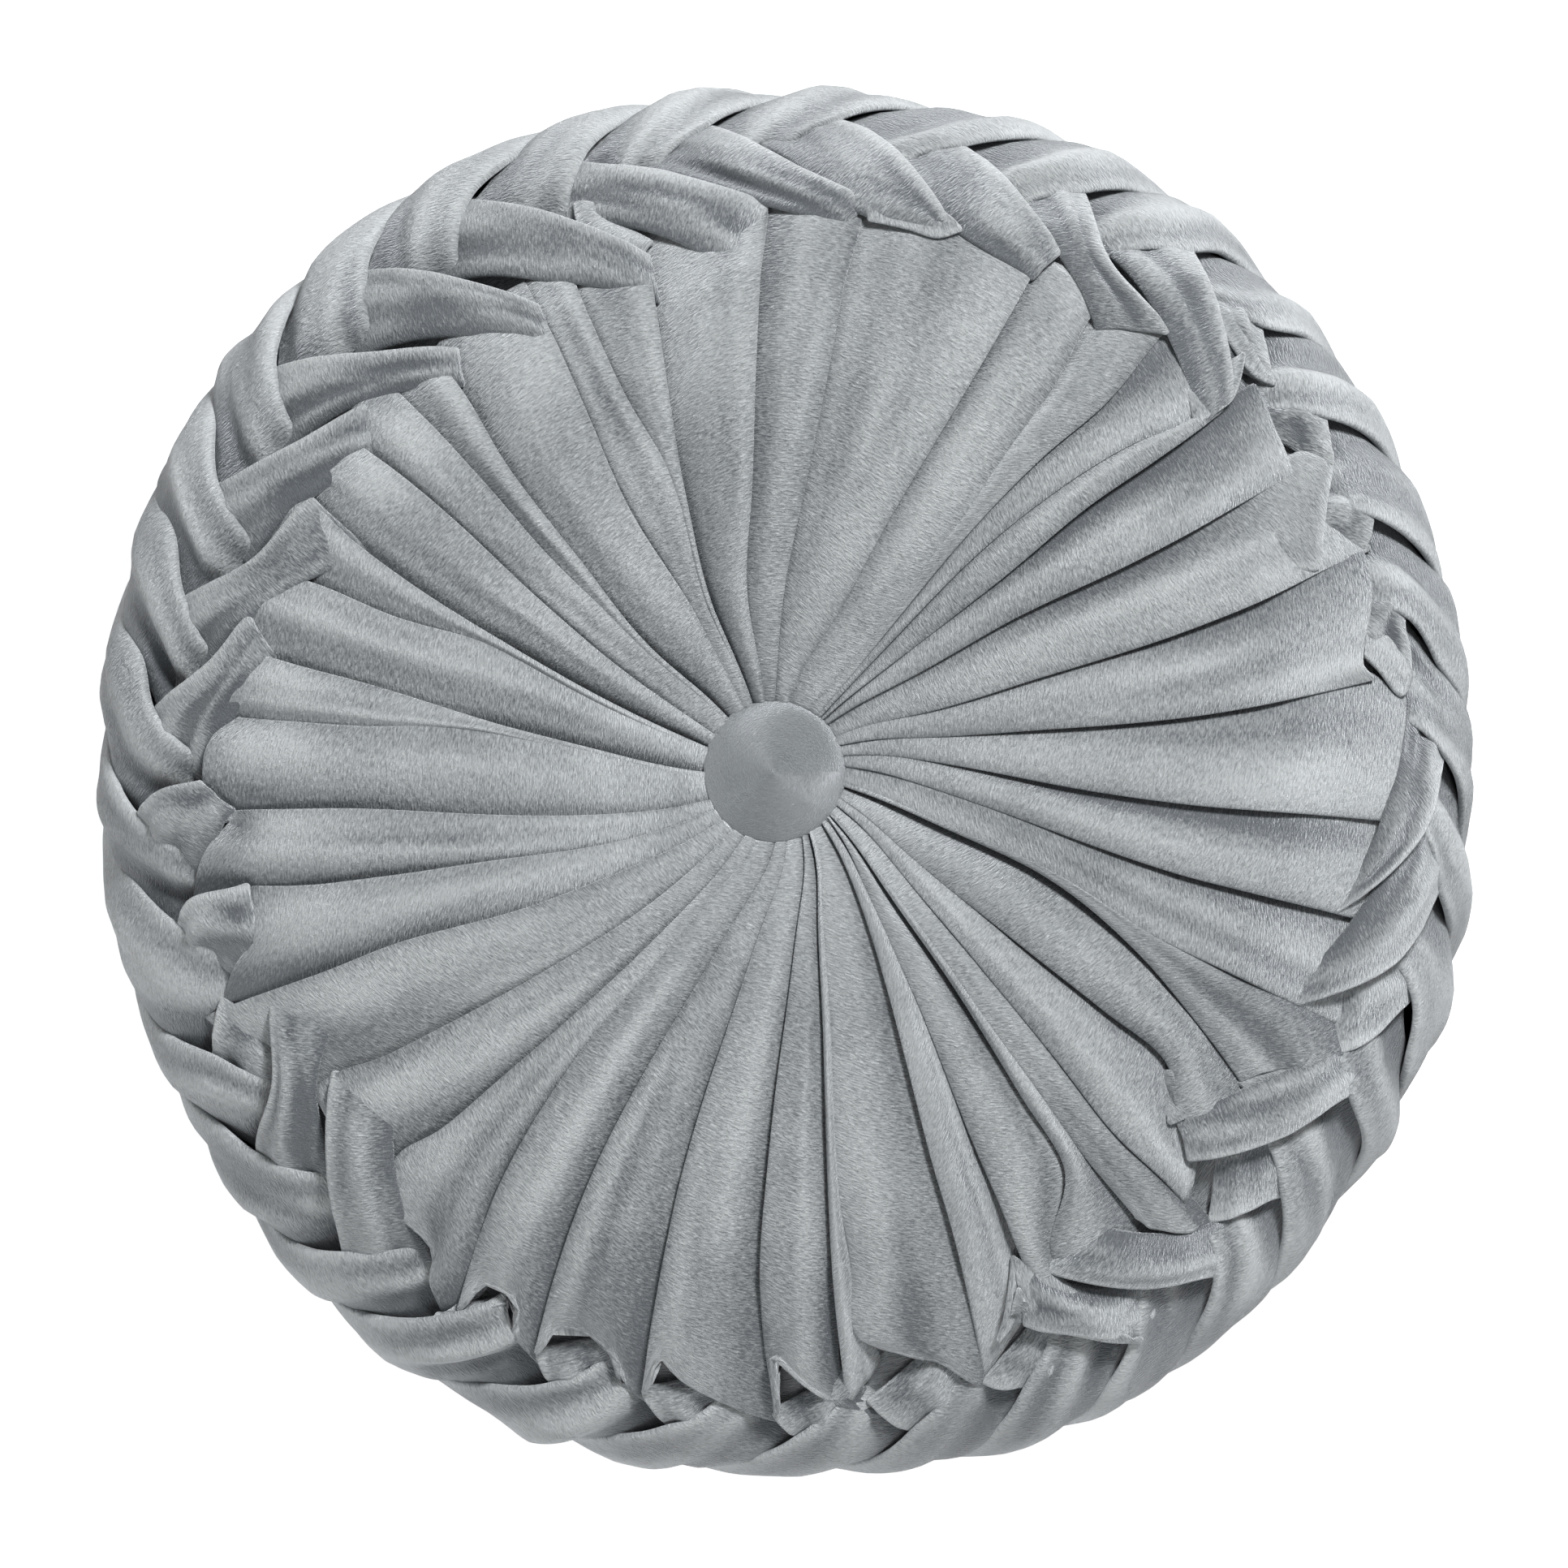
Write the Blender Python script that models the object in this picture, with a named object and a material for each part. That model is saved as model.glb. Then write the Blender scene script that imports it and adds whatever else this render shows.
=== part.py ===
"""Round velvet cushion: knife pleats gathered to a covered button, and a smocked braid round the rim.

Units are metres and degrees. The cushion lies on its back on z = 0, front face up. Angles run
counterclockwise from +X, seen from above. Each fold of the cover is one line of the mesh: it leaves
the front button, runs out as a pleat, zigzags through the three rows of the braid, and runs in again
to the back button.
"""
import math

import bmesh
import bpy
import numpy as np

MM = 0.001

# ---- driving dimensions ---------------------------------------------------------------------------
RIM_RADIUS = 184.5 * MM          # padding under the braid, at the widest ring
HALF_HEIGHT = 56.0 * MM          # crown height over the widest ring, before the dimples
ROUNDNESS = 3.0                  # exponent of the section: 2 is an ellipse, more is squarer
WIDEST_RING_HEIGHT = 50.0 * MM   # height of the widest ring over the floor
DIMPLE_DEPTH = 25.0 * MM         # how far the button ties pull the crown in
DIMPLE_WIDTH = 60.0 * MM         # radius over which the dimple fades
FLOOR = 0.0

SEAT_RADIUS = 18.4 * MM          # flat middle that a button sits on
SEAT_DROP = 3.6 * MM             # seat below the innermost ring of the pleats
EYE_RADIUS = 21.8 * MM           # innermost ring of the pleats
PLEAT_RADIUS = 111.0 * MM        # ring at which the fold table gives each pleat its angle

BUTTON_RADIUS = 19.4 * MM
BUTTON_DOME = 8.6 * MM
BUTTON_SIDES = 40
PIECE_GAP = 0.3 * MM

MIDDLE_ROW_DROP = 54.0 * MM      # length of the middle braid row across the rim
MIDDLE_ROW_LEAN = -16.0          # degrees that its bands lean on the way to the back
BACK_ROW_DROP = 38.0 * MM        # length of the back braid row
BACK_ROW_LEAN = 12.0
BACK_PLEAT_SWIRL = -9.0          # degrees that the back pleats turn on their way to the button
BACK_EYE_SWIRL = -16.0
END_SLIDE = 0.38                 # how far a middle band's end reaches up beside its front band
EYE_CURL = 2.2                   # how late a pleat makes its turn towards the button
MEAN_SHARE = 0.62                # share of the ridge height at which an uncreased fold lies level

# Outline of the finished rim, one radius every 30 degrees, in mm.
RIM_REACH = (191.5, 192.0, 193.0, 187.5, 189.5, 188.0, 187.0, 186.5, 190.0, 191.5, 196.5, 195.5)
BAND_STAND = 7.7 * MM            # height of the braid over the padding

# One row for each fold, counterclockwise.
# knot: where the fold turns between the front and the middle braid row (angle, radius in mm)
# tip: where its front band ends and its pleat starts (angle, radius in mm)
# pleat: angle of the pleat half way in; eye: its angle at the button; depth: how deep it is creased
FOLD_COLUMNS = ("knot", "knot_mm", "tip", "tip_mm", "pleat", "eye", "depth")
FOLDS = (
    (1.0, 183, -14.0, 161, -14.5, 1.0, 1.0),
    (13.5, 178, -4.5, 165, -4.8, 13.0, 1.0),
    (23.1, 178, 8.8, 161, 7.2, 19.0, 1.0),
    (32.6, 179, 20.1, 158, 18.5, 27.0, 0.9),
    (42.4, 181, 29.9, 163, 30.0, 36.0, 0.9),
    (51.2, 182, 39.1, 156, 39.8, 43.0, 1.2),
    (61.7, 180, 48.2, 157, 49.5, 50.0, 0.9),
    (73.2, 179, 60.5, 156, 63.3, 71.0, 1.2),
    (84.3, 179, 72.0, 155, 73.0, 80.0, 0.2),
    (95.6, 177, 80.8, 155, 82.0, 88.0, 1.0),
    (107.4, 175, 90.8, 153, 92.2, 97.0, 1.0),
    (117.8, 177, 104.0, 142, 105.0, 107.0, 1.0),
    (129.0, 177, 116.6, 138, 117.2, 117.0, 1.0),
    (140.5, 175, 128.0, 142, 130.6, 130.0, 1.1),
    (152.5, 171, 140.5, 144, 141.5, 145.0, 1.0),
    (163.6, 168, 150.0, 142, 152.3, 158.0, 1.0),
    (174.4, 170, 165.0, 147, 168.0, 176.0, 1.2),
    (183.6, 174, 174.2, 148, 176.0, 187.0, 0.3),
    (194.7, 168, 184.0, 145, 185.2, 198.0, 1.0),
    (206.6, 172, 192.3, 146, 195.0, 207.0, 0.9),
    (216.0, 175, 203.0, 153, 204.2, 217.0, 1.2),
    (228.2, 176, 214.0, 145, 218.0, 231.0, 1.1),
    (238.2, 175, 226.0, 150, 228.0, 241.0, 1.0),
    (249.8, 178, 239.0, 158, 235.5, 250.0, 1.0),
    (260.4, 181, 247.6, 161, 245.2, 263.0, 1.0),
    (271.6, 182, 258.0, 161, 256.6, 274.0, 1.0),
    (281.4, 184, 269.0, 156, 268.3, 285.0, 1.0),
    (292.2, 182, 279.8, 159, 277.3, 294.0, 1.0),
    (302.4, 182, 290.3, 166, 291.8, 306.0, 0.9),
    (310.9, 183, 297.6, 152, 298.0, 314.0, 0.9),
    (320.1, 181, 309.0, 159, 308.5, 322.0, 0.9),
    (330.6, 181, 317.0, 153, 315.0, 330.0, 1.0),
    (339.8, 185, 326.5, 154, 324.5, 337.0, 1.1),
    (350.2, 185, 336.0, 156, 336.3, 348.0, 1.0),
)

# One row for each ring of the cover, from the front button to the back button.
# stretch: which stretch of a fold it lies on, and along: how far down that stretch
# rise: height of the whole ring; ridge: height of each fold's edge over its neighbour
# slide: share of END_SLIDE by which the ring is drawn up beside the front bands
RING_COLUMNS = ("stretch", "along", "rise_mm", "ridge_mm", "slide")
RINGS = (
    ("inner pleat", 0.00, 0.0, 0.8, 0.0),
    ("inner pleat", 0.09, 0.0, 1.6, 0.0),
    ("inner pleat", 0.22, 0.0, 2.3, 0.0),
    ("inner pleat", 0.38, 0.0, 2.9, 0.0),
    ("inner pleat", 0.58, 0.0, 3.3, 0.0),
    ("inner pleat", 0.79, 0.0, 3.6, 0.0),
    ("outer pleat", 0.00, 0.0, 3.9, 0.0),
    ("outer pleat", 0.34, 0.0, 4.3, 0.0),
    ("outer pleat", 0.68, -0.2, 4.5, 0.0),
    ("outer pleat", 0.95, -0.8, 4.0, 0.0),
    ("front band", 0.06, 3.4, 3.6, 0.0),
    ("front band", 0.28, 3.4, 4.4, 0.12),
    ("front band", 0.52, 2.9, 4.8, 0.4),
    ("front band", 0.76, 2.0, 5.0, 0.75),
    ("front band", 0.94, 0.9, 4.4, 1.0),
    ("middle band", 0.04, 4.4, 3.6, 1.0),
    ("middle band", 0.16, 4.3, 4.4, 0.75),
    ("middle band", 0.32, 4.0, 5.0, 0.45),
    ("middle band", 0.50, 3.8, 5.2, 0.2),
    ("middle band", 0.68, 3.8, 5.2, 0.0),
    ("middle band", 0.85, 3.8, 4.6, 0.0),
    ("middle band", 0.97, 3.6, 3.6, 0.0),
    ("back band", 0.08, 0.9, 4.4, 0.0),
    ("back band", 0.34, 2.2, 5.0, 0.0),
    ("back band", 0.64, 3.2, 4.4, 0.0),
    ("back band", 0.95, 3.4, 3.6, 0.0),
    ("outer back pleat", 0.07, -0.8, 4.0, 0.0),
    ("outer back pleat", 0.36, 0.0, 4.2, 0.0),
    ("outer back pleat", 0.68, 0.0, 4.0, 0.0),
    ("inner back pleat", 0.00, 0.0, 3.8, 0.0),
    ("inner back pleat", 0.25, 0.0, 3.3, 0.0),
    ("inner back pleat", 0.50, 0.0, 2.8, 0.0),
    ("inner back pleat", 0.74, 0.0, 2.1, 0.0),
    ("inner back pleat", 0.90, 0.0, 1.4, 0.0),
    ("inner back pleat", 1.00, 0.0, 0.8, 0.0),
)
STRETCHES = ("inner pleat", "outer pleat", "front band", "middle band", "back band",
             "outer back pleat", "inner back pleat")

# Section across one fold: how far it lies towards the next fold, and its share of the ridge height.
# The fold is highest at its own edge and dives under the next fold's edge.
CREST = (
    # across, share
    (0.00, 0.00),
    (0.13, 1.00),
    (0.46, 0.88),
    (0.80, 0.46),
)

VELVET = (0.372, 0.412, 0.442, 1.0)
BUTTON_VELVET = (0.345, 0.385, 0.415, 1.0)


# ---- section of the padding -----------------------------------------------------------------------
def section_curve(samples=1600):
    """Radius and height of the padding from the front centre over the rim to the back centre."""
    turn = np.linspace(math.pi / 2, -math.pi / 2, samples)
    power = 2.0 / ROUNDNESS
    radius = RIM_RADIUS * np.abs(np.cos(turn)) ** power
    height = HALF_HEIGHT * np.sign(np.sin(turn)) * np.abs(np.sin(turn)) ** power
    dimple = DIMPLE_DEPTH * np.exp(-(radius / DIMPLE_WIDTH) ** 2)
    height -= np.sign(np.sin(turn)) * np.minimum(dimple, np.abs(height))
    return radius, height


class Section:
    """The padding's section, read by the distance along it from the widest ring."""

    def __init__(self):
        self.radius, self.height = section_curve()
        steps = np.hypot(np.diff(self.radius), np.diff(self.height))
        travelled = np.concatenate(([0.0], np.cumsum(steps)))
        widest = travelled[len(travelled) // 2]
        self.distance = widest - travelled
        self.order = np.argsort(self.distance)

    def read(self, values, distance):
        return float(np.interp(distance, self.distance[self.order], values[self.order]))

    def point(self, distance):
        return self.read(self.radius, distance), self.read(self.height, distance)

    def normal(self, distance):
        step = 1.5 * MM
        r_in, z_in = self.point(distance + step)
        r_out, z_out = self.point(distance - step)
        along_r, along_z = r_in - r_out, z_in - z_out
        length = math.hypot(along_r, along_z)
        return along_z / length, -along_r / length

    def distance_at(self, radius, front=True):
        """Distance along the section at which it has this radius, on the front or the back."""
        half = len(self.radius) // 2
        radii, distances = self.radius[:half], self.distance[:half]
        distance = float(np.interp(radius, radii, distances))
        return distance if front else -distance


# ---- fold lines -----------------------------------------------------------------------------------
def fold_stations(section, fold):
    """Angle and distance along the section of one fold's turning points, front button to back."""
    knot = section.distance_at(fold["knot_mm"] * MM)
    tip = section.distance_at(fold["tip_mm"] * MM)
    back_knot = knot - MIDDLE_ROW_DROP
    back_tip = back_knot - BACK_ROW_DROP
    back_knot_angle = fold["knot"] + MIDDLE_ROW_LEAN
    back_tip_angle = back_knot_angle + BACK_ROW_LEAN
    return (
        (fold["eye"], section.distance_at(EYE_RADIUS)),
        (fold["pleat"], section.distance_at(PLEAT_RADIUS)),
        (fold["tip"], tip),
        (fold["knot"], knot),
        (back_knot_angle, back_knot),
        (back_tip_angle, back_tip),
        (back_tip_angle + BACK_PLEAT_SWIRL / 3, section.distance_at(PLEAT_RADIUS, front=False)),
        (back_tip_angle + BACK_EYE_SWIRL, section.distance_at(EYE_RADIUS, front=False)),
    )


def fold_point(stations, ring):
    """Angle and distance of a fold line at one ring."""
    first = STRETCHES.index(ring["stretch"])
    angle_a, distance_a = stations[first]
    angle_b, distance_b = stations[first + 1]
    along = ring["along"]
    turned = along
    if ring["stretch"] == "inner pleat":
        turned = 1.0 - (1.0 - along) ** EYE_CURL
    elif ring["stretch"] == "inner back pleat":
        turned = along ** EYE_CURL
    return angle_a + (angle_b - angle_a) * turned, distance_a + (distance_b - distance_a) * along


def reach_at(angle):
    """Outline radius of the finished rim at an angle."""
    step = 360.0 / len(RIM_REACH)
    place = (angle % 360.0) / step
    first = int(place)
    blend = 0.5 - 0.5 * math.cos(math.pi * (place - first))
    here = RIM_REACH[first % len(RIM_REACH)]
    following = RIM_REACH[(first + 1) % len(RIM_REACH)]
    return (here + (following - here) * blend) * MM


def surface_point(section, angle, distance, rise):
    """A point of the cover, raised over the padding, with the back pressed flat on the floor."""
    radius, height = section.point(distance)
    out_r, out_z = section.normal(distance)
    swell = (reach_at(angle) - BAND_STAND - RIM_RADIUS) * (radius / RIM_RADIUS) ** 4
    radius += swell + out_r * rise
    height += out_z * rise + WIDEST_RING_HEIGHT
    turn = math.radians(angle)
    return radius * math.cos(turn), radius * math.sin(turn), max(height, FLOOR)


def cover_rings(section):
    """Every ring of the cover as a closed loop of points."""
    folds = [dict(zip(FOLD_COLUMNS, row)) for row in FOLDS]
    stations = [fold_stations(section, fold) for fold in folds]
    rings = []
    for row in RINGS:
        ring = dict(zip(RING_COLUMNS, row))
        loop = []
        for index, fold in enumerate(folds):
            after = (index + 1) % len(folds)
            full_turn = 360.0 if after == 0 else 0.0
            angle_a, distance_a = fold_point(stations[index], ring)
            angle_b, distance_b = fold_point(stations[after], ring)
            knot_distance = stations[index][3][1]
            band_length = stations[index][2][1] - knot_distance
            pleat = "pleat" in ring["stretch"]
            depth = fold["depth"] if pleat else 1.0
            depth_after = folds[after]["depth"] if pleat else 1.0
            for across, share in CREST:
                angle = angle_a + (angle_b + full_turn - angle_a) * across
                distance = distance_a + (distance_b - distance_a) * across
                distance += END_SLIDE * ring["slide"] * across * band_length
                creased = depth + (depth_after - depth) * across
                level = MEAN_SHARE + (share - MEAN_SHARE) * creased
                rise = (ring["rise_mm"] + ring["ridge_mm"] * level) * MM
                loop.append(surface_point(section, angle, distance, rise))
        rings.append(loop)
    return rings


# ---- meshes ---------------------------------------------------------------------------------------
def plain_material(name, colour, roughness):
    material = bpy.data.materials.new(name)
    material.use_nodes = True
    shader = material.node_tree.nodes["Principled BSDF"]
    shader.inputs["Base Color"].default_value = colour
    shader.inputs["Roughness"].default_value = roughness
    shader.inputs["Metallic"].default_value = 0.0
    return material


def finish_object(mesh_data, name, material, sharp_degrees):
    """Turn a bmesh into a shaded object of the scene."""
    bmesh.ops.triangulate(mesh_data, faces=mesh_data.faces[:])
    bmesh.ops.recalc_face_normals(mesh_data, faces=mesh_data.faces[:])
    mesh = bpy.data.meshes.new(name)
    mesh_data.to_mesh(mesh)
    mesh_data.free()
    mesh.shade_smooth()
    mesh.set_sharp_from_angle(angle=math.radians(sharp_degrees))
    mesh.materials.append(material)
    piece = bpy.data.objects.new(name, mesh)
    bpy.context.collection.objects.link(piece)
    return piece


def seat_loop(ring, height):
    """The flat ring under a button, in line with the innermost ring of the pleats."""
    loop = []
    for x, y, _ in ring:
        shrink = SEAT_RADIUS / math.hypot(x, y)
        loop.append((x * shrink, y * shrink, height))
    return loop


def build_cushion(rings, front_seat, back_seat):
    rings = [seat_loop(rings[0], front_seat)] + rings + [seat_loop(rings[-1], back_seat)]
    mesh_data = bmesh.new()
    loops = [[mesh_data.verts.new(point) for point in ring] for ring in rings]
    count = len(loops[0])
    for upper, lower in zip(loops, loops[1:]):
        for index in range(count):
            after = (index + 1) % count
            mesh_data.faces.new((upper[index], lower[index], lower[after], upper[after]))
    for loop, height in ((loops[0], front_seat), (loops[-1], back_seat)):
        middle = mesh_data.verts.new((0.0, 0.0, height))
        for index in range(count):
            mesh_data.faces.new((middle, loop[index], loop[(index + 1) % count]))
    material = plain_material("cover_velvet", VELVET, 0.9)
    return finish_object(mesh_data, "cushion", material, 50.0)


def button_profile():
    """Half section of a covered button, from the middle of its base to the top of its dome."""
    profile = [(0.0, 0.0), (0.66, 0.0), (0.84, 0.07), (0.96, 0.22), (1.0, 0.40)]
    dome_steps = 7
    for step in range(1, dome_steps + 1):
        turn = 0.5 * math.pi * step / dome_steps
        profile.append((math.cos(turn) ** 0.8, 0.40 + 0.60 * math.sin(turn)))
    return [(radius * BUTTON_RADIUS, height * BUTTON_DOME) for radius, height in profile]


def build_button(name, seat_height, facing):
    """A covered button on its seat: facing is 1 for the front of the cushion, -1 for the back."""
    mesh_data = bmesh.new()
    profile = button_profile()
    base = mesh_data.verts.new((0.0, 0.0, seat_height + facing * PIECE_GAP))
    top = mesh_data.verts.new((0.0, 0.0, seat_height + facing * (PIECE_GAP + BUTTON_DOME)))
    loops = []
    for radius, height in profile[1:-1]:
        loop = []
        for side in range(BUTTON_SIDES):
            turn = 2.0 * math.pi * side / BUTTON_SIDES
            z = seat_height + facing * (PIECE_GAP + height)
            loop.append(mesh_data.verts.new((radius * math.cos(turn), radius * math.sin(turn), z)))
        loops.append(loop)
    for lower, upper in zip(loops, loops[1:]):
        for side in range(BUTTON_SIDES):
            after = (side + 1) % BUTTON_SIDES
            mesh_data.faces.new((lower[side], lower[after], upper[after], upper[side]))
    for pole, loop in ((base, loops[0]), (top, loops[-1])):
        for side in range(BUTTON_SIDES):
            mesh_data.faces.new((pole, loop[side], loop[(side + 1) % BUTTON_SIDES]))
    material = plain_material(name + "_velvet", BUTTON_VELVET, 0.88)
    return finish_object(mesh_data, name, material, 40.0)


def centre_on_origin(cushion, pieces):
    """Stand the cushion's box on the middle of the XY plane."""
    xs = [vertex.co.x for vertex in cushion.data.vertices]
    ys = [vertex.co.y for vertex in cushion.data.vertices]
    shift_x = -0.5 * (min(xs) + max(xs))
    shift_y = -0.5 * (min(ys) + max(ys))
    for piece in pieces:
        piece.location = (shift_x, shift_y, 0.0)


def main():
    for item in list(bpy.data.objects):
        bpy.data.objects.remove(item, do_unlink=True)
    section = Section()
    rings = cover_rings(section)
    front_seat = min(point[2] for point in rings[0]) - SEAT_DROP
    back_seat = max(point[2] for point in rings[-1]) + SEAT_DROP
    cushion = build_cushion(rings, front_seat, back_seat)
    front_button = build_button("front_button", front_seat, 1)
    back_button = build_button("back_button", back_seat, -1)
    centre_on_origin(cushion, (cushion, front_button, back_button))


main()
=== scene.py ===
import math

import bmesh
import bpy
import numpy as np
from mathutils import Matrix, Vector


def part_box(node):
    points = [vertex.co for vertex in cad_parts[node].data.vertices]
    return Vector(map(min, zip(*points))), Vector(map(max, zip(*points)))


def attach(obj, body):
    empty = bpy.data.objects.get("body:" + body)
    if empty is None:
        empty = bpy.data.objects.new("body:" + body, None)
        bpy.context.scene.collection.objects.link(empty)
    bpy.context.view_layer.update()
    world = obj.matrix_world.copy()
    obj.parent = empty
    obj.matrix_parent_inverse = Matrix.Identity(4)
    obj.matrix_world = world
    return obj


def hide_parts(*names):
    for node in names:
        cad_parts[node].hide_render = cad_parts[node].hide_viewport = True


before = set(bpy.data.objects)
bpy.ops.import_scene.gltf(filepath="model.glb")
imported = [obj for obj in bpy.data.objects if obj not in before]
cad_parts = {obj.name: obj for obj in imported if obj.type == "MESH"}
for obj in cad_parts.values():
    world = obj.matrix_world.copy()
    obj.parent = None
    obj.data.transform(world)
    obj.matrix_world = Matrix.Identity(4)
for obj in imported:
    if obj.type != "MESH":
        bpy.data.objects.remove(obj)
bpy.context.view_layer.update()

# A round velvet cushion. Its cover is built as the maker folds it: every pleat, band and button is a
# closed sleeve of cloth laid over the padding, each with a rolled edge over its neighbour.
# Angles are degrees, counterclockwise from +X. Distances along the section ("arc") run from the widest
# ring, positive towards the front button and negative towards the back one. Lengths are metres.
MM = 0.001

# ---- sizes, from the frame ----
cushion_low, cushion_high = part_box("cushion")
button_low, button_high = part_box("front_button")
back_button_low, back_button_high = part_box("back_button")

BRAID_INSET = 6.2 * MM       # padding's rim inside the cushion's box
SPARE_HEIGHT = 3.5 * MM      # padding's height at each side before it is dimpled and squashed
RING_SINK = 2.5 * MM         # widest ring below half the thickness

THICKNESS = cushion_high.z - cushion_low.z
MIDDLE_X = 0.5 * (button_low.x + button_high.x)
MIDDLE_Y = 0.5 * (button_low.y + button_high.y)
RIM_RADIUS = 0.5 * (cushion_high.y - cushion_low.y) - BRAID_INSET
HALF_HEIGHT = 0.5 * THICKNESS + SPARE_HEIGHT
WIDEST_RING_HEIGHT = 0.5 * THICKNESS - RING_SINK
BUTTON_RADIUS = 0.5 * (button_high.x - button_low.x)

# ---- padding ----
ROUNDNESS = 3.0              # power of the superellipse that the section follows
DIMPLE_DEPTH = 25.0 * MM
DIMPLE_WIDTH = 60.0 * MM
BRAID_STAND = 7.7 * MM       # braid over the padding at the widest ring
PRESSED = 5.0 * MM           # height under which the back is squashed towards the floor
SWELL_POWER = 4              # how fast the rim's unevenness fades towards the middle
LEAST_RADIUS = 10.0 * MM     # nearer to the middle a width takes up no more degrees than here
SEEN_STAND = 6.0 * MM        # stand of the cloth whose places are given as they show from above
VIEW_DISTANCE = 3.0          # camera over the widest ring

# Outline radius of the finished rim in mm, one every RIM_STEP degrees.
RIM_STEP = 30.0
RIM_REACH = np.array((188.5, 188.8, 189.0, 183.5, 185.5, 184.5, 182.5, 183.5, 189.0, 189.5, 195.0, 192.5))

# ---- the braid ----
# Every place is (angle, distance from the middle in mm as it shows from above).
# Front bands: the outer edge runs knot, mid, tip; the inner edge runs low, heel.
# sink: 1 where the end runs out into the pleat under it, 0 where it ends in a free fold.
BAND_COLUMNS = ("knot", "mid", "tip", "heel", "low", "sink")
BANDS = (
    ((1.0, 182.7), (-5.5, 175.0), (-13.8, 158.6), (-10.5, 161.5), (-4.5, 165.5), 1.0),
    ((13.8, 178.1), (10.5, 177.0), (7.0, 174.8), (12.0, 163.5), (14.2, 166.1), 0.0),
    ((23.1, 177.9), (22.2, 176.5), (20.9, 173.9), (22.8, 163.5), (24.6, 166.6), 0.0),
    ((32.7, 179.6), (31.0, 177.2), (28.5, 174.5), (34.3, 165.7), (35.6, 167.7), 0.0),
    ((42.3, 180.7), (40.5, 177.2), (38.2, 172.8), (44.0, 169.4), (45.2, 171.7), 0.0),
    ((51.3, 182.1), (46.5, 173.0), (39.2, 160.4), (39.3, 149.7), (45.5, 157.7), 0.0),
    ((62.0, 179.4), (57.5, 165.7), (48.3, 160.1), (54.0, 150.0), (60.5, 159.9), 0.0),
    ((73.2, 178.5), (67.5, 169.0), (61.3, 160.8), (62.5, 151.9), (70.5, 155.1), 0.0),
    ((84.4, 178.8), (78.0, 168.3), (72.0, 155.3), (73.0, 152.2), (80.3, 153.3), 0.0),
    ((95.7, 177.2), (88.5, 164.1), (80.9, 156.8), (83.0, 149.3), (90.0, 155.1), 0.5),
    ((107.5, 174.8), (99.5, 163.0), (90.8, 154.4), (94.5, 136.2), (102.5, 150.6), 1.0),
    ((118.0, 176.8), (111.5, 161.0), (103.7, 144.4), (104.0, 132.2), (115.2, 148.1), 0.0),
    ((129.2, 176.5), (123.5, 159.9), (116.9, 142.2), (117.4, 129.0), (126.4, 148.0), 0.0),
    ((141.0, 175.0), (135.0, 159.3), (127.0, 143.5), (129.0, 135.6), (136.5, 148.6), 0.0),
    ((152.7, 170.8), (146.5, 157.7), (137.2, 148.4), (141.8, 136.9), (149.0, 146.6), 1.0),
    ((163.6, 167.7), (158.0, 152.2), (149.5, 146.2), (151.5, 124.5), (159.0, 139.8), 0.6),
    ((174.3, 170.1), (169.0, 155.1), (163.6, 149.1), (167.0, 140.0), (173.0, 148.2), 0.3),
    ((184.0, 173.0), (182.0, 166.1), (181.0, 155.9), (184.0, 148.0), (187.7, 154.4), 0.0),
    ((194.6, 167.7), (192.9, 162.8), (192.3, 146.6), (198.6, 147.4), (199.8, 156.5), 0.0),
    ((206.7, 172.1), (205.0, 168.8), (202.3, 164.1), (210.0, 155.7), (211.2, 159.9), 0.0),
    ((216.3, 175.4), (212.3, 159.9), (204.5, 150.2), (208.8, 136.7), (215.0, 152.8), 1.0),
    ((228.1, 176.1), (222.3, 162.4), (214.4, 145.7), (219.5, 133.3), (226.0, 149.7), 1.0),
    ((238.3, 175.2), (238.6, 173.4), (239.2, 170.8), (242.8, 161.0), (242.4, 163.9), 0.0),
    ((249.9, 178.1), (249.0, 175.9), (247.6, 172.1), (252.3, 164.6), (252.8, 167.2), 0.0),
    ((260.5, 181.2), (259.5, 178.1), (257.8, 174.1), (263.5, 169.0), (264.0, 171.2), 0.0),
    ((271.8, 181.9), (271.0, 179.6), (269.8, 176.5), (275.0, 169.7), (275.6, 171.7), 0.0),
    ((281.5, 184.1), (280.2, 180.5), (278.6, 175.6), (284.6, 165.0), (286.2, 169.0), 0.0),
    ((292.0, 181.9), (290.4, 179.9), (288.8, 177.4), (296.0, 166.1), (296.6, 168.8), 0.0),
    ((302.4, 182.3), (298.3, 172.3), (294.4, 164.8), (296.6, 149.5), (300.2, 162.8), 0.0),
    ((311.2, 182.5), (305.5, 171.0), (298.6, 154.6), (304.7, 150.4), (309.0, 162.8), 1.0),
    ((320.0, 181.2), (317.0, 176.1), (314.2, 172.3), (320.3, 158.6), (322.5, 162.8), 0.0),
    ((330.8, 180.1), (324.5, 168.8), (317.0, 154.4), (319.4, 144.9), (326.5, 155.1), 0.0),
    ((340.0, 185.2), (335.8, 178.5), (333.2, 171.7), (340.0, 167.9), (341.8, 171.7), 0.0),
    ((349.8, 184.5), (343.0, 174.5), (336.2, 156.4), (339.5, 155.9), (347.0, 164.4), 1.0),
)

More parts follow.
